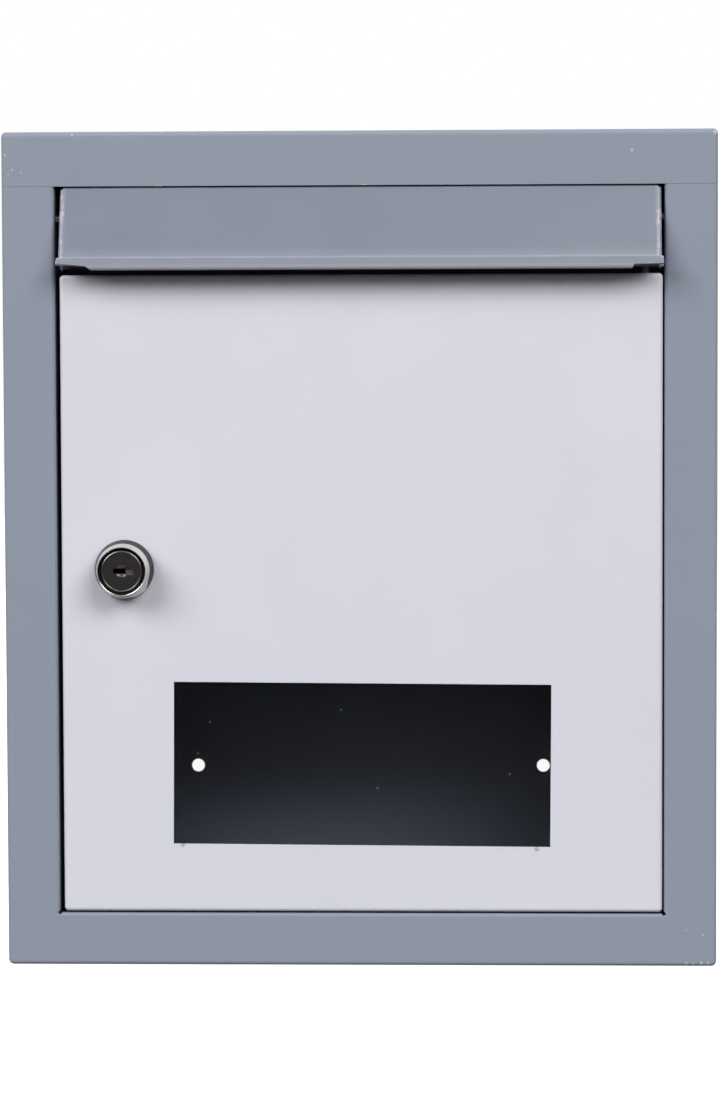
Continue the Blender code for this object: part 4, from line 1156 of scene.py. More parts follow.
@dataclass
class Casing:
    """Folded casing: wrap, top cap, back pan and the cross rail under the letter slot."""

    width: float = 0.260
    height: float = 0.305
    depth: float = 0.100
    fold: Fold = Fold(0.0008, 0.0006)
    cap_fold: Fold = Fold(0.0008, 0.0010)
    corner_radius: float = 0.0019
    relief: float = 0.0007
    seam: float = 0.00005
    border: float = 0.0192
    top_border: float = 0.0198
    jamb: float = 0.014
    joggle: float = 0.0025
    joggle_tab: float = 0.014
    joggle_setback: float = 0.018
    back_flange: float = 0.012
    wall_hole: float = 0.0025
    wall_hole_spacing: float = 0.135
    wall_hole_inset: float = 0.062
    slot_height: float = 0.0322
    door_top_gap: float = 0.0024
    sill_drop: float = 0.012
    sill_setback: float = 0.0055
    tongue_width: float = 0.014
    tongue_setback: float = 0.0006
    wing_depth: float = 0.010
    weld_heights: tuple[float, ...] = (0.03, 0.11, 0.19, 0.265)
    edge_round: float = 0.00007

    def __post_init__(self) -> None:
        """Works out the places that other assemblies use."""
        self.opening_half = self.width / 2 - self.border
        self.opening_top = self.height - self.top_border
        self.door_top = self.opening_top - self.slot_height
        self.sill_top = self.door_top + self.door_top_gap + self.fold.sheet
        self.sill_back = self.jamb + FIT + self.fold.sheet

    def wrap(self, bores: Sequence[Bore]) -> Mesh:
        """Left wall, floor and right wall in one, with the front frame and its jambs.

        Args:
            bores: Holes for the flap's pins and the door's lower pivot.

        Returns:
            The finished mesh.
        """
        half, end, sheet = self.width / 2, self.opening_top - FIT, self.fold.sheet
        rim = Rim.trough(half, 0, self.opening_top - self.seam, self.corner_radius)
        path = [(0, self.depth), (0, 0), (self.border, 0), (self.border, self.jamb)]
        wrap = rim.swept(self.fold.outline(path), at_front, plate=False)
        outer = half - sheet - FIT
        near, far = FRONT + self.joggle_setback, FRONT + self.depth - self.joggle_setback
        section = [
            (half - sheet / 2, end - self.joggle),
            (half - sheet / 2, end - sheet / 2),
            (outer, end),
            (outer, end + self.joggle_tab),
            (outer - sheet, end + self.joggle_tab),
            (outer - sheet, end - self.joggle / 2),
        ]
        tabs, reliefs = [], []
        for side in (-1, 1):
            outline = [(side * x, z) for x, z in section]
            tabs.append(prism(outline, (near, far), lambda a, b, c: (a, c, b)))
            corner = at_front(side * self.opening_half, self.border, 0)
            reliefs.append(Bore(corner, Axis.Y, self.relief, self.jamb + OVERRUN))
        wrap = bored(combined(wrap, tabs, Cut.JOIN), [*reliefs, *bores])
        return softened(wrap, self.edge_round)

    def cap(self) -> Mesh:
        """Roof, with the frame's top member in front and a skirt on each side."""
        radius = self.fold.radius + self.fold.sheet
        rim = Rim.trough(self.width / 2, FRONT, FRONT + self.depth, radius)
        section = self.cap_fold.flanged(self.top_border)
        cap = rim.swept(section, lambda a, b, depth: (a, b, self.height - depth), plate=True)
        return softened(cap, self.edge_round)

    def wall_holes(self) -> list[Bore]:
        """Holes by which the box hangs."""
        half, back = self.wall_hole_spacing / 2, FRONT + self.depth
        heights = (self.wall_hole_inset, self.height - self.wall_hole_inset)
        places = [(x, back, z) for x in (-half, half) for z in heights]
        return [Bore(place, Axis.Y, self.wall_hole, OVERRUN) for place in places]

    def back(self) -> Mesh:
        """Back pan, its flanges turned forwards inside the walls."""
        side, foot = self.width / 2 - self.fold.sheet - FIT, self.fold.sheet + FIT
        low, high = Vector((-side, foot)), Vector((side, self.height - foot))
        rim = Rim.rectangle(low, high, self.fold.radius + self.fold.sheet)
        far = FRONT + self.depth
        section = self.fold.flanged(self.back_flange)
        pan = rim.swept(section, lambda a, b, depth: (a, far - depth, b), plate=True)
        return softened(bored(pan, self.wall_holes()))

    def sill(self, bore: Bore) -> Mesh:
        """Cross rail with a shelf, a drop behind it and wings to the walls.

        Args:
            bore: Hole for the door's upper pivot.

        Returns:
            The finished mesh.
        """
        sheet, top = self.fold.sheet, self.sill_top
        reach, wall = self.opening_half - FIT, self.width / 2 - sheet - FIT
        foot = top - self.sill_drop
        path = [(self.sill_back, foot), (self.sill_back, top), (self.tongue_setback, top)]
        shelf = prism(self.fold.outline(path), (-reach, reach), along_x)
        front = self.sill_back - sheet
        path = [(reach - OVERRUN, front), (wall, front), (wall, self.sill_back + self.wing_depth)]
        outline = self.fold.outline(path)
        stops = (foot, top - sheet - self.fold.radius)
        sections = [[(side * x, FRONT + y) for x, y in outline] for side in (-1, 1)]
        wings = [prism(section, stops, as_given) for section in sections]
        recess = block(
            (-reach - OVERRUN, FRONT - OVERRUN, top - sheet - OVERRUN),
            (reach - self.tongue_width, FRONT + self.sill_setback, top + OVERRUN),
        )
        rail = combined(shelf, wings, Cut.JOIN)
        return softened(combined(rail, [recess, bore.cutter()], Cut.AWAY))

    def dimples(self) -> tuple[Mark, ...]:
        """Pressed marks of the spot welds on the side skirts and near the back edges."""
        radius, skirt, back = 0.0022, self.opening_top + 0.008, FRONT + self.depth - 0.007
        rows = [(skirt, FRONT + depth) for depth in (0.026, 0.050, 0.074)]
        rows += [(z, back) for z in self.weld_heights]
        return tuple(Mark((s * self.width / 2, y, z), radius) for s in (-1, 1) for z, y in rows)

    def painted_inner_shade(self, colour: Triple) -> PaintedInnerShade:
        """Painted shade inside the casing: all that lies within its walls and behind its front
        sheet.
        """
        wall, front = self.fold.sheet / 2, self.fold.sheet * 1.4
        back = self.depth - wall
        middle = at_front(0, self.height / 2, (front + back) / 2)
        half = (self.width / 2 - wall, (back - front) / 2, self.height / 2 - wall)
        return PaintedInnerShade(middle, half, colour)

    def welds(self, spots: WeldSpots, finish: Material) -> Mesh:
        """Spot welds inside, along the back pan's flanges and on the cross rail's wings."""
        inner = self.width / 2 - 2 * self.fold.sheet - FIT
        deep = FRONT + self.depth - self.back_flange / 2
        rail = FRONT + self.sill_back + self.wing_depth / 2
        meshes = []
        for side in (-1, 1):
            places = [(side * inner, deep, z) for z in self.weld_heights]
            places.append((side * inner, rail, self.sill_top - self.sill_drop / 2))
            meshes.append(spots.on(places, (-side, 0, 0), finish))
        return joined(meshes)

    def install(self, shop: Workshop, spots: WeldSpots, bores: dict[str, list[Bore]]) -> None:
        """Builds and dresses every piece of the casing.

        Args:
            shop: Where pieces go.
            spots: Recipe of the spot welds.
            bores: Holes that other assemblies need, in the wrap and in the rail.
        """
        half = self.width / 2
        outer = Band(at_front(0, self.height / 2, 0), half, self.height / 2, 0.0013)
        mouth = (self.opening_top + self.border) / 2
        inner = Band(at_front(0, mouth, 0), self.opening_half, self.opening_top - mouth, 0.0008)
        scars = (
            (-0.1260, 0.2913, 0.0005),
            (-0.1227, 0.2902, 0.0004),
            (-0.1274, 0.2895, 0.0004),
            (-0.1285, 0.2967, 0.0005),
            (-0.1040, 0.3038, 0.0005),
            (0.0989, 0.2973, 0.0006),
            (0.1189, 0.0134, 0.0004),
            (0.1221, 0.0130, 0.0003),
            (0.1251, 0.0116, 0.0005),
            (0.1290, 0.3038, 0.0008),
            (0.1190, 0.0012, 0.0006),
            (0.1215, 0.0011, 0.0005),
            (0.1245, 0.0012, 0.0007),
            (0.1270, 0.0013, 0.0006),
        )
        paint = PowderCoat(
            "grey_powder_coat",
            (0.271, 0.305, 0.376),
            0.60,
            wear=0.32,
            bands=(outer, inner),
            marks=tuple(Mark(at_front(x, z, 0.0002), radius) for x, z, radius in scars),
            dimples=self.dimples(),
            # Painted shade: the paint inside the casing is darkened to this colour
            painted_inner_shade=self.painted_inner_shade((0.100, 0.114, 0.148)),
        ).build()
        pieces = {
            "case_wrap": (self.wrap(bores["wrap"]), "casing_wrap"),
            "case_top_cap": (self.cap(), "top_cap"),
            "case_back_pan": (self.back(), "back_panel"),
            "case_cross_rail": (self.sill(bores["rail"][0]), "slot_sill"),
        }
        shop.install_all(pieces, paint, Body.CASING, "grey_paint")
        shop.install("case_spot_welds", self.welds(spots, paint), paint, Body.CASING, "grey_paint")


@dataclass
class Door:
    """Door pan with its window, the channels that hold the pane, and its two pivots."""

    casing: Casing
    fold: Fold = Fold(0.0008, 0.0006)
    depth: float = 0.012
    corner_radius: float = 0.0015
    latch_gap: float = 0.0017
    hinge_gap: float = 0.00065
    bottom_gap: float = 0.0006
    window_width: float = 0.138
    window_height: float = 0.0596
    window_rise: float = 0.0245
    window_tilt: float = math.radians(0.45)
    pane: float = 0.002
    pane_lap: float = 0.006
    channel: Fold = Fold(0.0007, 0.0003, 5)
    channel_foot: float = 0.009
    channel_lip: float = 0.005
    pivot_radius: float = 0.0014
    pivot_inset: float = 0.00635
    pivot_depth: float = 0.0032

    def __post_init__(self) -> None:
        """Works out the door's edges and the places on it."""
        self.left = -self.casing.opening_half + self.latch_gap
        self.right = self.casing.opening_half - self.hinge_gap
        self.bottom = self.casing.border + self.bottom_gap
        self.top = self.casing.door_top
        self.middle = (self.left + self.right) / 2
        self.window_foot = self.bottom + self.window_rise
        self.pivot_x = self.right - self.pivot_inset

    def pivot_bore(self, z: float) -> Bore:
        """Hole for one pivot in a sheet at height z."""
        spot = (self.pivot_x, FRONT + self.pivot_depth, z)
        return Bore(spot, Axis.Z, self.pivot_radius + PLAY, OVERRUN)

    def pan(self, lock_hole: Mesh) -> Mesh:
        """Door pan, cut for the window, the lock and the pivots.

        Args:
            lock_hole: Cutter for the lock's barrel.

        Returns:
            The finished mesh.
        """
        low, high = Vector((self.left, self.bottom)), Vector((self.right, self.top))
        rim = Rim.rectangle(low, high, self.corner_radius)
        pan = rim.swept(self.fold.flanged(self.depth), at_front, plate=True)
        half, head = self.window_width / 2, self.window_foot + self.window_height
        near, far = FRONT - OVERRUN, FRONT + self.fold.sheet + OVERRUN
        foot = (self.middle - half, near, self.window_foot)
        window = block(foot, (self.middle + half, far, head))
        centre = Matrix.Translation((self.middle, 0, (self.window_foot + head) / 2))
        window.transform(centre @ Matrix.Rotation(self.window_tilt, 4, "Y") @ centre.inverted())
        heights = (self.bottom + self.fold.sheet / 2, self.top - self.fold.sheet / 2)
        cutters = [window, lock_hole] + [self.pivot_bore(z).cutter() for z in heights]
        return softened(combined(pan, cutters, Cut.AWAY), 0.00015)

    def pane_edges(self) -> tuple[float, float, float, float]:
        """Left, right, lower and upper edge of the pane."""
        half = self.window_width / 2 + self.pane_lap
        foot = self.window_foot - self.pane_lap
        head = self.window_foot + self.window_height + self.pane_lap
        return self.middle - half, self.middle + half, foot, head

    def pane_mesh(self) -> Mesh:
        """Pane with its edges eased."""
        left, right, foot, head = self.pane_edges()
        near = FRONT + self.fold.sheet + FIT
        return softened(block((left, near, foot), (right, near + self.pane, head)), 0.0003)

    def channel_mesh(self, upper: bool) -> Mesh:
        """Folded channel that steps back round one edge of the pane.

        Args:
            upper: True for the one above the pane, which mirrors the one below.

        Returns:
            The finished mesh.
        """
        left, right, foot, head = self.pane_edges()
        sheet, edge = self.channel.sheet, foot - FIT
        near = self.fold.sheet + FIT + sheet
        back = near + self.pane + FIT
        path = [
            (near, edge - self.channel_foot),
            (near, edge - sheet),
            (back, edge - sheet),
            (back, edge + self.channel_lip),
        ]
        outline = self.channel.outline(path, 0.0002)
        if upper:
            outline = [Vector((p.x, foot + head - p.y)) for p in outline]
        return softened(prism(outline, (left, right), along_x), 0.00008)

    def welds(self, spots: WeldSpots, finish: Material) -> Mesh:
        """Spot welds on the feet of both channels."""
        left, right, foot, head = self.pane_edges()
        deep = FRONT + self.fold.sheet + FIT + self.channel.sheet
        shares = (0.06, 0.28, 0.5, 0.72, 0.94)
        heights = (foot - self.channel_foot / 2 - FIT, head + self.channel_foot / 2 + FIT)
        places = [(left + (right - left) * share, deep, z) for z in heights for share in shares]
        return spots.on(places, (0, 1, 0), finish)

    def install(self, shop: Workshop, spots: WeldSpots, lock_hole: Mesh) -> None:
        """Builds and dresses every piece of the door.

        Args:
            shop: Where pieces go.
            spots: Recipe of the spot welds.
            lock_hole: Cutter for the lock's barrel.
        """
        width, height = (self.right - self.left) / 2, (self.top - self.bottom) / 2
        edges = Band(at_front(self.middle, self.bottom + height, 0), width, height, 0.0008)
        cut, foot = self.window_width / 2, self.window_foot
        burrs = (
            at_front(self.middle - cut + 0.0031, foot + 0.0002, 0),
            at_front(self.middle + cut - 0.0052, foot - 0.0013, 0),
        )
        white = PowderCoat(
            "white_powder_coat",
            (0.735, 0.735, 0.812),
            0.40,
            peel=0.0014,
            chip=(0.36, 0.37, 0.40),
            wear=0.25,
            bands=(edges,),
            marks=tuple(Mark(burr, 0.0009) for burr in burrs),
            marks_colour=(0.45, 0.46, 0.48),
        ).build()
        near = FRONT + self.fold.sheet + FIT
        specks = ((-0.0552, 0.0896, 0.0004), (-0.0071, 0.0940, 0.0003), (0.0063, 0.0653, 0.0005))
        clear = ClearSheet(
            "clear_acrylic_sheet",
            (1.0, 1.0, 1.0),
            0.03,
            marks=tuple(Mark((x, near, z), radius) for x, z, radius in specks),
        ).build()
        zinc = PlatedMetal(
            "channel_zinc",
            (0.52, 0.53, 0.54),
            0.36,
            stretch=(0.03, 1.0, 1.0),
            tarnish=(0.40, 0.40, 0.39),
        ).build()
        # Dark steel, darkened further as painted shade: the pins sit in shaded slits
        pins = PlatedMetal("pivot_steel", (0.20, 0.20, 0.21), 0.42, stretch=(1.0, 1.0, 0.1)).build()
        pan, pane = self.pan(lock_hole), self.pane_mesh()
        shop.install("door_pan", pan, white, Body.DOOR, "white_paint", ["door_panel"])
        shop.install("door_pane", pane, clear, Body.DOOR, "clear_acrylic", ["window_pane"])
        channels = {
            "door_channel_lower": (self.channel_mesh(False), "pane_channel_lower"),
            "door_channel_upper": (self.channel_mesh(True), "pane_channel_upper"),
        }
        shop.install_all(channels, zinc, Body.DOOR, "zinc_steel")
        shop.install("door_spot_welds", self.welds(spots, zinc), zinc, Body.DOOR, "zinc_steel")
        pivots = {
            f"door_pin_{word}": (refined(f"door_pivot_{word}", 0.00015), f"door_pivot_{word}")
            for word in ("upper", "lower")
        }
        shop.install_all(pivots, pins, Body.CASING, "zinc_steel")


@dataclass
class CamLock:
    """Quarter-turn cam lock: head and barrel, nut, plug, wafers, washers, cam and screw."""

    door: Door
    inset: float = 0.0231
    rise: float = 0.1260
    head_radius: float = 0.0108
    head_height: float = 0.012
    skirt: float = 0.0012
    neck_radius: float = 0.00975
    neck_depth: float = 0.0056
    dish_radius: float = 0.0086
    dish_depth: float = 0.0012
    rim_round: float = 0.0003
    barrel_radius: float = 0.0093
    barrel_length: float = 0.0132
    thread_depth: float = 0.00025
    thread_pitch: float = 0.0010
    flats: float = 0.016
    nut_flats: float = 0.024
    nut_height: float = 0.004
    plug_radius: float = 0.0065
    face_radius: float = 0.0075
    face_height: float = 0.0012
    face_stand: float = 0.0002
    face_rim: float = 0.0005
    face_rim_width: float = 0.0006
    tang: float = 0.0062
    tang_length: float = 0.0030
    keyway_left: float = 0.0031
    keyway_right: float = 0.0045
    keyway_step: float = 0.0013
    keyway_height: float = 0.0020
    step_height: float = 0.0028
    keyway_depth: float = 0.0125
    dimple_radius: float = 0.00245
    dimple_depth: float = 0.0008
    wafers: int = 5
    wafer_sheet: float = 0.0008
    wafer_pitch: float = 0.0020
    wafer_start: float = 0.0008
    wafer_height: float = 0.0060
    stop_sheet: float = 0.0008
    screw_radius: float = 0.0019
    screw_length: float = 0.008
    screw_head: float = 0.0040
    screw_head_height: float = 0.0024
    screw_slot: float = 0.0010
    screw_slot_depth: float = 0.0011
    screw_place: float = 0.0179
    spring_radius: float = 0.0036
    spring_place: float = 0.0169
    spring_height: float = 0.0007

    def __post_init__(self) -> None:
        """Works out the lock's seat on the door and its depths."""
        self.x = self.door.left + self.inset
        self.z = self.door.bottom + self.rise
        self.seat = Matrix.Translation((self.x, FRONT, self.z)) @ Matrix.Rotation(-QUARTER, 4, "X")
        self.dish = -(self.head_height - self.dish_depth)
        self.face = self.dish - self.face_stand
        self.face_back = self.face + self.face_height

    def seated(self, mesh: Mesh) -> Mesh:
        """Moves a mesh from the lock's own frame, Z into the box, to its place."""
        mesh.transform(self.seat)
        return mesh

    def barrel_hole(self) -> Mesh:
        """Cutter for the barrel's hole with its two flats."""
        limit = self.flats / 2 + FIT
        angles = [2 * math.pi * (i + 0.5) / SOME for i in range(SOME)]
        outline = [
            (x, max(-limit, min(limit, y))) for x, y in arc(self.barrel_radius + FIT, angles)
        ]
        return self.seated(prism(outline, (-OVERRUN, self.door.fold.sheet + OVERRUN), as_given))

    def head(self) -> Mesh:
        """Die-cast head and barrel core, bored for the plug, with its flats."""
        bore, counterbore = self.plug_radius + PLAY, self.face_radius + FIT
        front, seat, far = -self.head_height, -FIT, self.barrel_length + OVERRUN
        core = self.barrel_radius - self.thread_depth
        dish, wide, crest = self.dish, self.dish_radius, self.rim_round
        ease, chamfer = 0.00015, 0.0004
        rim = [(0, 0.5), (0.15, 0.15), (0.5, 0), (0.85, 0.4), (1, 1)]
        profile = [
            (bore, self.barrel_length),
            (bore, self.face_back + FIT),
            (counterbore, self.face_back + FIT),
            (counterbore, dish),
            (wide - ease, dish),
            (wide, dish - ease),
            *((wide + crest * out, front + crest * deep) for out, deep in rim),
            (self.neck_radius - 0.00002, front + self.neck_depth - 0.0001),
            (self.neck_radius + 0.00002, front + self.neck_depth + 0.0001),
            (self.head_radius - 0.00004, seat - self.skirt - 0.0003),
            (self.head_radius, seat - self.skirt),
            (self.head_radius, seat),
            (core, seat),
            (core, self.barrel_length - chamfer),
            (core - chamfer, self.barrel_length),
        ]
        body = turned(profile, MANY)
        reach = self.barrel_radius + OVERRUN
        cutters = []
        for side in (-1, 1):
            low, high = sorted((side * self.flats / 2, side * reach))
            cutters.append(block((-reach, low, seat), (reach, high, far)))
        half_width, half_height = bore + 0.0008, self.wafer_height / 2 + FIT
        start = self.face_back + FIT + self.wafer_start / 2
        end = self.face_back + self.wafer_start + self.wafers * self.wafer_pitch
        cutters.append(block((-half_width, -half_height, start), (half_width, half_height, end)))
        slack = math.radians(13)  # how far the stop turns beyond its quarter, each way
        cutters.append(self.sector(self.plug_radius - OVERRUN, reach, -QUARTER - slack, slack))
        return combined(body, cutters, Cut.AWAY)

    def sector(self, inner: float, outer: float, start: float, end: float) -> Mesh:
        """Cutter for the stop's notch in the barrel's end.

        Args:
            inner: Smaller radius.
            outer: Larger radius.
            start: First angle.
            end: Last angle.

        Returns:
            The cutter.
        """
        angles = [start + (end - start) * i / 16 for i in range(17)]
        points = arc(outer, angles) + arc(inner, angles[::-1])
        depth = self.barrel_length - self.stop_sheet - FIT
        return prism(points, (depth, self.barrel_length + OVERRUN), as_given)

    def housing(self, thread: BarrelThread, finish: Material) -> Mesh:
        """Head and barrel with the thread between its flats.

        Args:
            thread: Recipe of the thread.
            finish: The housing's finish.

        Returns:
            The finished mesh.
        """
        start, end = 0.0016, self.barrel_length - 0.0020
        core = self.barrel_radius - self.thread_depth
        ridge = thread.bake(
            bpy.data.meshes.new("start"),
            finish,
            Radius=core,
            Pitch=self.thread_pitch,
            Depth=self.thread_depth,
            Turns=(end - start) / self.thread_pitch,
            Half_Flats=self.flats / 2 - 0.00008,
        )
        ridge.transform(Matrix.Translation((0, 0, start)))
        return self.seated(joined([softened(self.head(), 0.00008), ridge]))

    def nut(self) -> Mesh:
        """Hexagon nut with its corners turned off on both faces."""
        front = self.door.fold.sheet + FIT
        back, corner = front + self.nut_height, self.nut_flats / math.sqrt(3)
        outline = arc(corner, [math.pi / 3 * i for i in range(6)])
        flat, drop = self.nut_flats / 2, 0.0009
        profile = [
            (0, front),
            (flat, front),
            (corner, front + drop),
            (corner, back - drop),
            (flat, back),
            (0, back),
        ]
        body = combined(prism(outline, (front, back), as_given), [turned(profile, MANY)], Cut.SHARE)
        bore = self.barrel_radius + PLAY
        body = combined(body, [rod(bore, front - OVERRUN, back + OVERRUN, MANY)], Cut.AWAY)
        return self.seated(softened(body, 0.00015))

    def plug(self) -> Mesh:
        """Turning plug with its rimmed face, stepped keyway, wafer slots and square tang."""
        face, rim = self.face, self.face_radius - self.face_rim_width
        length = self.barrel_length
        profile = [
            (0, face),
            (rim - 0.0001, face),
            (rim, face - 0.0001),
            (rim + 0.0001, face - self.face_rim + 0.0001),
            (rim + 0.00022, face - self.face_rim),
            (self.face_radius - 0.00018, face - self.face_rim + 0.00003),
            (self.face_radius, face - self.face_rim + 0.0002),
            (self.face_radius, self.face_back),
            (self.plug_radius, self.face_back),
            (self.plug_radius, length),
            (0, length),
        ]
        body = turned(profile, MANY)
        half = self.tang / 2
        tang = block((-half, -half, length - OVERRUN), (half, half, length + self.tang_length))
        body = combined(body, [tang], Cut.JOIN)
        front = face - self.face_rim - OVERRUN
        end = face + self.keyway_depth
        low, step = self.keyway_height / 2, self.step_height / 2
        wide = self.dimple_radius
        bowl = [(0, front), (wide, front), (wide, face), *dome(wide, face, self.dimple_depth)]
        cutters = [
            block((-self.keyway_left, -low, front), (self.keyway_right, low, end)),
            block((self.keyway_step, -step, front), (self.keyway_right, step, end)),
            turned(bowl),
        ]
        reach, slot = self.plug_radius + OVERRUN, self.wafer_height / 2 + PLAY
        for i in range(self.wafers):
            start = self.face_back + self.wafer_start + i * self.wafer_pitch
            cutters.append(
                block((-reach, -slot, start - PLAY), (reach, slot, start + self.wafer_sheet + PLAY))
            )
        hole_end = self.screw_place - self.screw_length - FIT
        cutters.append(rod(self.screw_radius + PLAY, hole_end, length + self.tang_length + OVERRUN))
        return self.seated(softened(combined(body, cutters, Cut.AWAY), 0.00009))

    def spring_washer(self) -> Mesh:
        """Split washer whose two ends stand a little apart."""
        bm = bmesh.new()
        inner, outer = self.screw_radius + PLAY, self.spring_radius
        sheet, rise = self.spring_height * 0.7, self.spring_height * 0.3
        rings = []
        for i in range(65):
            angle = math.radians(6 + 348 * i / 64)
            low = self.spring_place + rise * i / 64
            c, s = math.cos(angle), math.sin(angle)
            spots = [(inner, low), (outer, low), (outer, low + sheet), (inner, low + sheet)]
            rings.append([bm.verts.new((r * c, r * s, h)) for r, h in spots])
        for here, there in zip(rings, rings[1:]):
            for k in range(4):
                bm.faces.new((here[k], here[(k + 1) % 4], there[(k + 1) % 4], there[k]))
        bm.faces.new(rings[0])
        bm.faces.new(list(reversed(rings[-1])))
        return self.seated(softened(mesh_of(bm), 0.00006))

    def screw(self) -> Mesh:
        """Slotted screw with a low domed head."""
        place, radius = self.screw_place, self.screw_head
        top, shoulder = place + self.screw_head_height, place + self.screw_head_height * 0.55
        profile = [
            (0, place - self.screw_length),
            (self.screw_radius, place - self.screw_length),
            (self.screw_radius, place),
            (radius, place),
            (radius, shoulder),
            *dome(radius, shoulder, top - shoulder),
        ]
        half, reach = self.screw_slot / 2, radius + OVERRUN
        slot = block((-reach, -half, top - self.screw_slot_depth), (reach, half, top + OVERRUN))
        return self.seated(softened(combined(turned(profile, FEW), [slot], Cut.AWAY), 0.00008))

    def install(self, shop: Workshop, thread: BarrelThread) -> None:
        """Builds and dresses every piece of the lock.

        Args:
            shop: Where pieces go.
            thread: Recipe of the barrel's thread.
        """
        centre = (self.x, FRONT, self.z)
        silver, behind_cone = (0.82, 0.80, 0.75), self.neck_depth - self.head_height
        # The bright cone reaches back at its foot by the ring's drop: painted reflection
        cone = BrightRing(centre, self.dish_radius, 0.1, behind_cone, silver, 0.17, 0.005)
        chrome = PlatedMetal(
            "head_dark_nickel",
            (0.026, 0.027, 0.030),
            0.36,
            grain=0.0008,
            depth=0.000003,
            tarnish=(0.020, 0.020, 0.020),
            ring=cone,
        ).build()
        # Painted highlight: a thin bright ring on the crest of the plug's rim
        rim = self.face_radius - self.face_rim_width / 2
        crest = BrightRing(centre, rim - 0.0001, rim + 0.0001, self.face, (0.62, 0.60, 0.57), 0.2)
        nickel = PlatedMetal(
            "plug_dark_nickel",
            (0.100, 0.090, 0.088),
            0.38,
            grain=0.0005,
            tarnish=(0.060, 0.053, 0.052),
            ring=crest,
        ).build()
        zinc_colour, zinc_tarnish = (0.52, 0.53, 0.54), (0.38, 0.38, 0.36)
        zinc = PlatedMetal("lock_zinc", zinc_colour, 0.34, tarnish=zinc_tarnish).build()
        brass_colour, brass_tarnish = (0.52, 0.46, 0.38), (0.32, 0.28, 0.22)
        brass = PlatedMetal("wafer_brass_sheet", brass_colour, 0.33, tarnish=brass_tarnish).build()
        steel, head = "zinc_steel", self.housing(thread, chrome)
        shop.install("lock_head", head, chrome, Body.DOOR, "lock_chrome", ["lock_housing"])
        shop.install("lock_hex_nut", self.nut(), zinc, Body.DOOR, steel, ["lock_nut"])
        shop.install("lock_cylinder", self.plug(), nickel, Body.LOCK, "plug_nickel", ["lock_plug"])
        wafers = {
            f"wafer_{i}": (refined(f"lock_wafer_{i}", 0.00006), f"lock_wafer_{i}")
            for i in range(1, self.wafers + 1)
        }
        shop.install_all(wafers, brass, Body.LOCK, "wafer_brass")
        behind = {
            "stop_washer": (refined("cam_stop_washer", 0.0001), "cam_stop_washer"),
            "cam_plate": (refined("lock_cam", 0.00025), "lock_cam"),
            "split_washer": (self.spring_washer(), "cam_spring_washer"),
            "slotted_screw": (self.screw(), "cam_screw"),
        }
        shop.install_all(behind, zinc, Body.LOCK, steel)


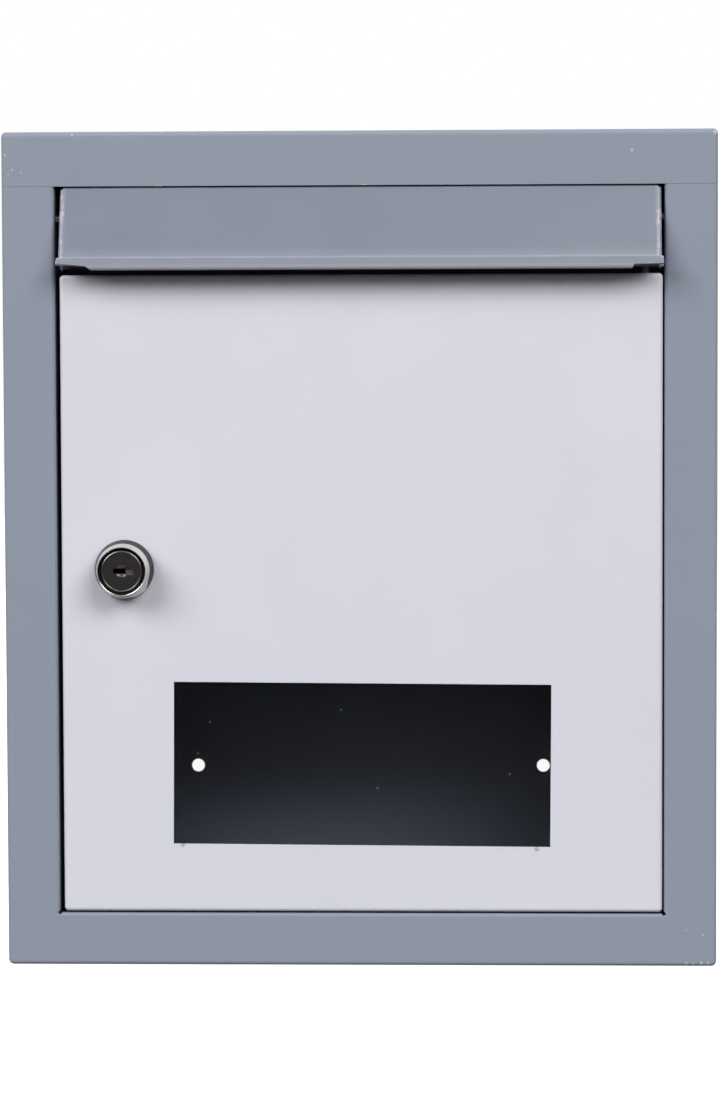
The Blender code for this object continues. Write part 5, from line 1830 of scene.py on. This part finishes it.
@dataclass
class LetterFlap:
    """Sloping flap with ears, a flared lip with a returned edge, and its two pins."""

    casing: Casing
    fold: Fold = Fold(0.0008, 0.0004)
    slope: float = math.radians(20)
    lip_slope: float = math.radians(55)
    stop_gap: float = 0.0003
    tuck: float = 0.004
    left_gap: float = 0.0022
    right_gap: float = 0.0013
    lip_rise: float = 0.0045
    lip_clearance: float = 0.0017
    hem: float = 0.006
    relief: float = 0.0100
    ear_depth: float = 0.011
    ear_top: float = 0.001
    ear_foot: float = 0.0001
    flare: float = 0.0006
    tail: int = 3
    left_slant: float = 1.0
    right_slant: float = 0.3
    taper: float = 0.0023
    pin_drop: float = 0.0116
    pin_depth: float = 0.0048
    pin_radius: float = 0.00125
    pin_head: float = 0.0024
    pin_tail: float = 0.0018
    nut_bore: float = 0.0021
    nut_radius: float = 0.0034
    nut_height: float = 0.0006
    nut_sheet: float = 0.00028
    knee_chips: float = 0.335
    lip_chips: float = 0.20
    side_chips: float = 0.5
    corner_chips: float = 0.62
    ear_chips: float = 0.45
    # Lightening of the knee and lip as painted highlight, of the hem as painted light on its shaded
    # underside, and of the edges as worn paint
    knee_highlight: float = 0.40
    lip_highlight: float = 0.13
    hem_painted_light: float = 0.6
    edge_rub: float = 0.16

    def __post_init__(self) -> None:
        """Works out the flap's ends and its axis."""
        self.left = -self.casing.opening_half + self.left_gap
        self.right = self.casing.opening_half - self.right_gap
        self.pin_z = self.casing.opening_top - self.pin_drop
        self.foot = self.casing.door_top + self.lip_clearance
        self.nut = self.casing.opening_half + self.casing.fold.sheet + FIT

    def path(self) -> list[Vector]:
        """Corners of the flap's section as (depth, height), from its top edge to its hem."""
        top = self.casing.opening_top
        guard = Vector((self.casing.fold.sheet + self.stop_gap, top))
        upward = Vector((math.sin(self.slope), math.cos(self.slope)))
        drop = top - self.foot - self.lip_rise
        knee = guard - Vector((drop * math.tan(self.slope), drop))
        tip = knee - Vector((self.lip_rise * math.tan(self.lip_slope), self.lip_rise))
        run = (self.fold.radius + self.fold.sheet) * math.tan((QUARTER + self.lip_slope) / 2)
        return [guard + upward * self.tuck, knee, tip, tip + Vector((run + self.hem, 0))]

    def bore(self, x: float, reach: float) -> Bore:
        """Hole for a flap pin round x."""
        return Bore((x, FRONT + self.pin_depth, self.pin_z), Axis.X, self.pin_radius + PLAY, reach)

    def jamb_bores(self) -> list[Bore]:
        """Holes for both pins in the casing's jambs."""
        half_sheet = self.casing.fold.sheet / 2
        place = self.casing.opening_half + half_sheet
        return [self.bore(x, half_sheet + OVERRUN) for x in (-place, place)]

    def rows(self) -> tuple[list[tuple[Vector, Vector]], int, int]:
        """Rows down the flap's section.

        Returns:
            The stations, and the rows where the knee's and the tip's bends start.
        """
        chain = self.fold.stations(self.path())
        steps = self.fold.steps
        knee_end = 2 + steps
        top, knee = chain[0], chain[1]
        run = (knee[0] - top[0]).length
        along = (knee[0] - top[0]) / run
        heights = [self.casing.opening_top - drop for drop in (0.0003, 0.0008, self.ear_top)]
        heights.append(self.path()[1].y + self.ear_foot)
        marks = [(height - top[0].y) / along.y for height in heights]
        marks = sorted(marks + [run * i / 9 for i in range(1, 9)])
        extra = [(top[0] + along * mark, top[1]) for mark in marks if 0.0002 < mark < run - 0.0002]
        lip_top, lip_foot = chain[knee_end + 1][0], chain[knee_end + 2][0]
        lip = [(lip_top.lerp(lip_foot, i / 4), chain[knee_end + 1][1]) for i in range(1, 4)]
        rows = [top, *extra, *chain[1 : knee_end + 2], *lip, *chain[knee_end + 2 :]]
        knee_start = 2 + len(extra)
        return rows, knee_start, knee_start + steps + 2 + len(lip)

    def columns(self) -> list[tuple[float, float, float, float, float]]:
        """Columns across the flap.

        Returns:
            For each, the outer skin's x and how far behind the plate it lies, the same for the
            inner skin, and how far the column is from the face's nearer end (-1 on an ear).
        """
        radius, sheet, steps = self.fold.radius + self.fold.sheet, self.fold.sheet, self.fold.steps
        ear = [
            (0.0, self.ear_depth, sheet, self.ear_depth, -1.0),
            (0.0, radius + 0.0006, sheet, radius + 0.0006, -1.0),
        ]
        angles = [QUARTER * step / steps for step in range(steps)]
        bends = zip(arc(radius, angles), arc(self.fold.radius, angles))
        ear += [(radius - a, radius - b, radius - c, radius - d, -0.5) for (a, b), (c, d) in bends]
        marks = [0.0, 0.0005, 0.0012, 0.0022, 0.004, 0.0065, self.relief - radius]
        ear += [(radius + mark, 0.0, radius + mark, sheet, mark) for mark in marks]
        first, last = self.left + self.relief, self.right - self.relief
        middle = [first + (last - first) * i / 20 for i in range(1, 20)]
        columns = [(self.left + a, b, self.left + c, d, e) for a, b, c, d, e in ear]
        columns += [(x, 0.0, x, sheet, 0.05) for x in middle]
        columns += [(self.right - a, b, self.right - c, d, e) for a, b, c, d, e in reversed(ear)]
        return columns

    def plate(self) -> Mesh:
        """Sloping plate with its ears turned back, its lip flared and its hem returned."""
        rows, knee_start, tip_start = self.rows()
        columns = self.columns()
        heights = [self.casing.opening_top - self.ear_top, self.path()[1].y + self.ear_foot]
        reach = self.relief - self.fold.radius - self.fold.sheet
        bm = bmesh.new()
        layers = [bm.verts.layers.float.new(name) for name in ("wear", "painted_sheen_and_rub", "painted_slit_shade")]
        skins: tuple[dict, dict] = ({}, {})
        lip_end = rows[tip_start]
        for r, (point, normal) in enumerate(rows):
            flare = min(1.0, max(0.0, (r - knee_start) / self.fold.steps))
            flare *= self.fold.radius + self.fold.sheet + self.flare
            for c, (x, behind, inner_x, inner_behind, mark) in enumerate(columns):
                end = 0 <= mark <= reach + 0.000001
                shift, spot, way = 0.0, point, normal
                if end:
                    side, slant = (-1, self.left_slant) if x < 0 else (1, self.right_slant)
                    far = 1 - mark / reach
                    shift = side * flare * far**2
                    if tip_start < r <= tip_start + self.tail:
                        spot = point.lerp(lip_end[0], far * slant)
                        way = normal.lerp(lip_end[1], far * slant).normalized()
                    elif r > tip_start and far < 0.000001:
                        beyond = (r - tip_start - self.tail) / (self.fold.steps - self.tail)
                        shift = -side * slant * self.taper * min(1.0, beyond) ** 0.7
                # Painted shade along the flap's top, in the slit under the cap's edge
                painted_slit_shade = float(point.y > self.casing.opening_top - 0.0004)
                values = (*self.wear_at(r, knee_start, tip_start, mark), painted_slit_shade)
                for skin, a, b in ((0, x, behind), (1, inner_x, inner_behind)):
                    p = spot + way * b
                    vert = bm.verts.new(along_x(p.x, p.y, a + shift))
                    for layer, value in zip(layers, values):
                        vert[layer] = value
                    skins[skin][r, c] = vert
        for r in range(len(rows) - 1):
            high, low = rows[r][0].y, rows[r + 1][0].y
            eared = high <= heights[0] + 0.00001 and low >= heights[1] - 0.00001
            for c in range(len(columns) - 1):
                ends = (columns[c][4], columns[c + 1][4])
                on_face = min(ends) >= 0
                cut_off = max(ends) <= reach + 0.000001 and r >= tip_start + self.tail
                if (on_face and not cut_off) or (not on_face and eared):
                    self.cell(bm, skins, r, c)
        self.close_edges(bm, skins)
        sheet = mesh_of(bm)
        middle = self.fold.sheet / 2
        bores = [self.bore(self.left + middle, OVERRUN), self.bore(self.right - middle, OVERRUN)]
        return softened(bored(sheet, bores))

    def wear_at(self, r: int, knee: int, tip: int, mark: float) -> tuple[float, float]:
        """How use has worn the paint at one point of the flap, and where light is painted on it.

        Args:
            r: Row.
            knee: Row where the knee's bend starts.
            tip: Row where the tip's bend starts.
            mark: Distance from the face's nearer end, below 0 on an ear.

        Returns:
            How chipped it is, and how much it is lightened: painted highlight on the knee and the
            lip, painted light on the shaded underside of the hem, and paint worn pale along the
            edges, each from 0 to 1.
        """
        steps = self.fold.steps
        on_knee = knee <= r <= knee + steps
        lip = self.lip_chips * (tip <= r <= tip + steps)
        side = self.side_chips * max(0.0, 1.0 - mark / 0.0018) if mark >= 0 else self.ear_chips
        at_corner = knee - 1 <= r <= knee + steps + 1 and 0 <= mark < 0.0012
        chipped = max(self.knee_chips * on_knee, lip, side, self.corner_chips * at_corner)
        # Painted highlight on the knee and the lip
        face = self.knee_highlight if on_knee else self.lip_highlight * (r > knee - 2)
        # Painted light on the hem's underside, which lies in shade
        under = self.hem_painted_light * min(1.0, max(0.0, (r - tip - 2) / 3))
        edge = self.edge_rub * (-0.6 < mark < 0.0006)
        return chipped, max(face, under, edge)

    @staticmethod
    def cell(bm: BMesh, skins: tuple[dict, dict], r: int, c: int) -> None:
        """Adds one cell of both skins."""
        corners = [(r, c), (r, c + 1), (r + 1, c + 1), (r + 1, c)]
        bm.faces.new([skins[0][key] for key in corners])
        bm.faces.new([skins[1][key] for key in reversed(corners)])

    @staticmethod
    def close_edges(bm: BMesh, skins: tuple[dict, dict]) -> None:
        """Joins both skins along every raw edge, and clears points with no face."""
        bm.edges.ensure_lookup_table()
        other = {skins[0][key]: skins[1][key] for key in skins[0]}
        raw = [edge for edge in bm.edges if edge.is_boundary]
        for edge in [edge for edge in raw if all(vert in other for vert in edge.verts)]:
            a, b = edge.verts
            bm.faces.new((b, a, other[a], other[b]))
        bare = [vert for vert in bm.verts if not vert.link_faces]
        bmesh.ops.delete(bm, geom=bare, context="VERTS")

    def pin(self, side: int) -> Mesh:
        """Headed pin out through one jamb, domed at its head and eased at its tail."""
        edge = -self.left if side < 0 else self.right
        head = edge - self.fold.sheet - FIT
        tail, radius = self.nut + self.nut_height + self.pin_tail, self.pin_radius
        wide, ease = self.pin_head, 0.0003
        brim = head - 0.0002
        profile = [*reversed(dome(wide, brim, -0.0006, 6)), (wide, brim), (wide, head)]
        profile += [(radius, head), (radius, tail - ease), (radius - ease, tail), (0, tail)]
        mesh = softened(turned(profile, 40), 0.00006)
        mesh.transform(self.pin_seat(side))
        return mesh

    def pin_seat(self, side: int) -> Matrix:
        """Place and direction of one pin."""
        spot = Matrix.Translation((0, FRONT + self.pin_depth, self.pin_z))
        return spot @ Matrix.Rotation(side * QUARTER, 4, "Y")

    def retainer(self, side: int, teeth: RetainerTeeth, finish: Material) -> Mesh:
        """Push-on retainer that keeps one pin in its jamb.

        Args:
            side: -1 for the left one, 1 for the right one.
            teeth: Recipe of its teeth.
            finish: Its finish.

        Returns:
            The finished mesh.
        """
        wide, sheet, height = self.nut_radius, self.nut_sheet, self.nut_height
        profile = [
            (self.nut_bore, 0),
            (wide, 0),
            (wide, height),
            (wide - sheet, height),
            (wide - sheet, sheet),
            (self.nut_bore, sheet),
        ]
        ring = softened(turned(profile, FEW), 0.00005)
        sizes = {"Radius": 0.00185, "Length": 0.0008, "Width": 0.0008, "Sheet": 0.0002}
        mesh = teeth.bake(ring, finish, **sizes, Tilt=0.35)
        mesh.transform(self.pin_seat(side) @ Matrix.Translation((0, 0, self.nut)))
        return mesh

    def install(self, shop: Workshop, teeth: RetainerTeeth) -> None:
        """Builds and dresses every piece of the flap.

        Args:
            shop: Where pieces go.
            teeth: Recipe of the retainers' teeth.
        """
        # The flap takes the frame's paint darkened: painted shade that offsets the extra light its
        # upward slope catches
        flap_tone_painted_darker, pale = (0.210, 0.237, 0.294), (0.46, 0.45, 0.51)
        paint = PowderCoat("grey_powder_coat_flap", flap_tone_painted_darker, 0.30, chip=pale, wear=1.0).build()
        zinc = PlatedMetal("pin_zinc", (0.36, 0.37, 0.38), 0.42, stretch=(0.1, 1.0, 1.0)).build()
        shop.install("letter_flap", self.plate(), paint, Body.FLAP, "grey_paint", ["flap_plate"])
        fittings = {}
        for side, word in ((-1, "left"), (1, "right")):
            retainer = self.retainer(side, teeth, zinc)
            fittings[f"flap_rivet_{word}"] = (self.pin(side), f"flap_pin_{word}")
            fittings[f"flap_retainer_{word}"] = (retainer, f"flap_push_nut_{word}")
        shop.install_all(fittings, zinc, Body.FLAP, "zinc_steel")


@dataclass(frozen=True)
class Lamp:
    """Soft rectangular lamp: place, aim, width, height and power in watts."""

    name: str
    place: Triple
    aim: Triple
    width: float
    height: float
    power: float

    def install(self) -> None:
        """Puts the lamp in the scene."""
        data = bpy.data.lights.new(self.name, "AREA")
        data.shape = "RECTANGLE"
        data.size, data.size_y, data.energy = self.width, self.height, self.power
        lamp = bpy.data.objects.new(self.name, data)
        bpy.context.scene.collection.objects.link(lamp)
        lamp.location = self.place
        way = Vector(self.aim) - Vector(self.place)
        lamp.rotation_euler = way.to_track_quat("-Z", "Y").to_euler()


@dataclass
class Studio:
    """Camera, lamps, floor and surroundings."""

    yaw: float = 0.04019
    pitch: float = -0.06434
    roll: float = 0.00378
    distance: float = 1.4
    camera_x: float = 0.05604
    camera_z: float = 0.24191
    focal_pixels: float = 3851.93
    frame_height: int = 1106
    aim_height: float = 0.16
    fill: float = 0.17
    backdrop: float = 0.35
    dark: float = 0.03

    def camera(self) -> None:
        """Camera at the photograph's angle and distance."""
        data = bpy.data.cameras.new("camera")
        data.sensor_fit = "VERTICAL"
        data.sensor_width = data.sensor_height = 36.0
        data.lens = self.focal_pixels * data.sensor_height / self.frame_height
        camera = bpy.data.objects.new("camera", data)
        bpy.context.scene.collection.objects.link(camera)
        turn = Matrix.Rotation(self.yaw, 3, "Z") @ Matrix.Rotation(self.pitch, 3, "X")
        turn = turn @ Matrix.Rotation(self.roll, 3, "Y") @ Matrix.Rotation(QUARTER, 3, "X")
        spot = (self.camera_x, FRONT - self.distance, self.camera_z)
        camera.matrix_world = Matrix.Translation(spot) @ turn.to_4x4()
        bpy.context.scene.camera = camera

    def around(self, azimuth: float, elevation: float, reach: float) -> Triple:
        """Place in front of the box, in degrees to the right and upwards."""
        side, lift = math.radians(azimuth), math.radians(elevation)
        flat = reach * math.cos(lift)
        height = self.aim_height + reach * math.sin(lift)
        return (flat * math.sin(side), FRONT - flat * math.cos(side), height)

    def lamps(self) -> None:
        """A lamp to each side in front, and softer ones over, beside and behind the box."""
        middle, body, roof = (0.0, FRONT, self.aim_height), (0.0, 0.05, 0.15), (0.0, 0.05, 0.3)
        for lamp in (
            Lamp("front_left", self.around(-43.0, 31.0, 5.6), middle, 3.6, 2.7, 211.0),
            Lamp("front_right", self.around(33.0, 32.7, 5.6), middle, 3.6, 2.7, 204.0),
            Lamp("overhead", (0.0, 0.6, 1.5), roof, 1.2, 0.6, 4.0),
            Lamp("left_side", (-1.4, 1.0, 0.5), body, 1.0, 1.0, 6.0),
            Lamp("right_side", (1.4, 1.0, 0.5), body, 1.0, 1.0, 6.0),
            Lamp("rear", (0.0, 1.6, 0.8), body, 1.4, 0.9, 8.0),
        ):
            lamp.install()

    @staticmethod
    def sight(graph: NodeGraph) -> tuple[Socket, Socket, Socket]:
        """Masks: what the camera sees itself, sees by mirror or glass, and rays out of glass."""
        path = graph.add("ShaderNodeLightPath").outputs
        glass = path["Is Transmission Ray"]
        either = graph.math("MAXIMUM", path["Is Glossy Ray"], glass)
        direct = graph.math("LESS_THAN", path["Diffuse Depth"], 0.5)
        return path["Is Camera Ray"], graph.times(either, direct), glass

    def floor(self) -> None:
        """Plain pale floor that fades into the backdrop and keeps the box's shadow."""
        bm = bmesh.new()
        bmesh.ops.create_grid(bm, x_segments=24, y_segments=24, size=3.0)
        floor = linked("studio_floor", mesh_of(bm))
        floor.location = (0, 0, -0.0002)
        material = bpy.data.materials.new("studio_floor_paper")
        material.use_nodes = True
        graph = NodeGraph(material.node_tree)
        shader = material.node_tree.nodes["Principled BSDF"]
        place = graph.add("ShaderNodeTexCoord").outputs["Object"]
        parts = graph.parts(place)
        # Its glow in mirrors and glass: a strip in front of the box, strongest close to it
        near = graph.span(parts[1], FRONT - 0.62, FRONT - 0.1, 0.0, 0.865)
        aside = graph.math("ABSOLUTE", graph.math("ADD", parts[0], 0.03))
        near = graph.times(near, graph.span(aside, 0.01, 0.13, 1.0, 0.0))
        close = graph.span(parts[1], FRONT - 0.26, FRONT - 0.18)
        rear = graph.span(parts[1], 0.0, 0.06, 0.8, 1.0)
        near = graph.math("MAXIMUM", near, graph.times(close, rear))
        camera, looked, _ = self.sight(graph)
        base = graph.blend(looked, (0.08, 0.08, 0.08, 1), (0.01, 0.01, 0.01, 1))
        graph.feed(shader.inputs["Base Color"], graph.blend(camera, base, (0.9, 0.9, 0.9, 1)))
        shader.inputs["Roughness"].default_value = 0.9
        shader.inputs["Specular IOR Level"].default_value = 0.0
        # Bluer further off, as the photo's room shows in the window
        tint = graph.blend(close, (0.6, 0.71, 1.0, 1), (1, 1, 1, 1))
        graph.feed(shader.inputs["Emission Color"], graph.blend(looked, (1, 1, 1, 1), tint))
        glow = graph.math("MULTIPLY_ADD", camera, 0.75, graph.times(looked, near))
        graph.feed(shader.inputs["Emission Strength"], glow)
        floor.data.materials.append(material)

    def world(self) -> None:
        """White backdrop for the camera and for what shows it, and a weak even fill."""
        world = bpy.data.worlds.new("studio_world")
        bpy.context.scene.world = world
        world.use_nodes = True
        graph = NodeGraph(world.node_tree)
        way = graph.parts(graph.add("ShaderNodeTexCoord").outputs["Generated"])
        camera, looked, glass = self.sight(graph)
        level = graph.span(glass, 0.0, 1.0, self.backdrop, 1.0)
        white = graph.math("MAXIMUM", camera, graph.span(way[1], -0.75, -0.25, self.dark, level))
        shown = graph.math("MAXIMUM", camera, looked)
        backdrop = world.node_tree.nodes["Background"]
        backdrop.inputs[0].default_value = (1, 1, 1, 1)
        graph.feed(backdrop.inputs[1], graph.span(shown, 0.0, 1.0, self.fill, white))

    def install(self) -> None:
        """Sets up the whole studio."""
        self.camera()
        self.lamps()
        self.floor()
        self.world()
        bpy.context.scene.view_settings.view_transform = "Standard"


def main() -> None:
    """Builds the studio and every assembly in order."""
    logging.basicConfig(level=logging.INFO, format="%(name)s: %(message)s")
    for old in [o for o in bpy.data.objects if o.type in ("CAMERA", "LIGHT") or o.name == "Cube"]:
        bpy.data.objects.remove(old)
    Studio().install()
    shop = Workshop()
    spots, thread, teeth = WeldSpots(), BarrelThread(), RetainerTeeth()
    casing = Casing()
    door = Door(casing)
    lock = CamLock(door)
    flap = LetterFlap(casing)
    sheet = casing.fold.sheet
    bores = {
        "wrap": [*flap.jamb_bores(), door.pivot_bore(casing.border - sheet / 2)],
        "rail": [door.pivot_bore(casing.sill_top - sheet / 2)],
    }
    casing.install(shop, spots, bores)
    door.install(shop, spots, lock.barrel_hole())
    lock.install(shop, thread)
    flap.install(shop, teeth)
    LOG.info("%d pieces", len(shop.pieces))


if __name__ == "__main__":
    main()
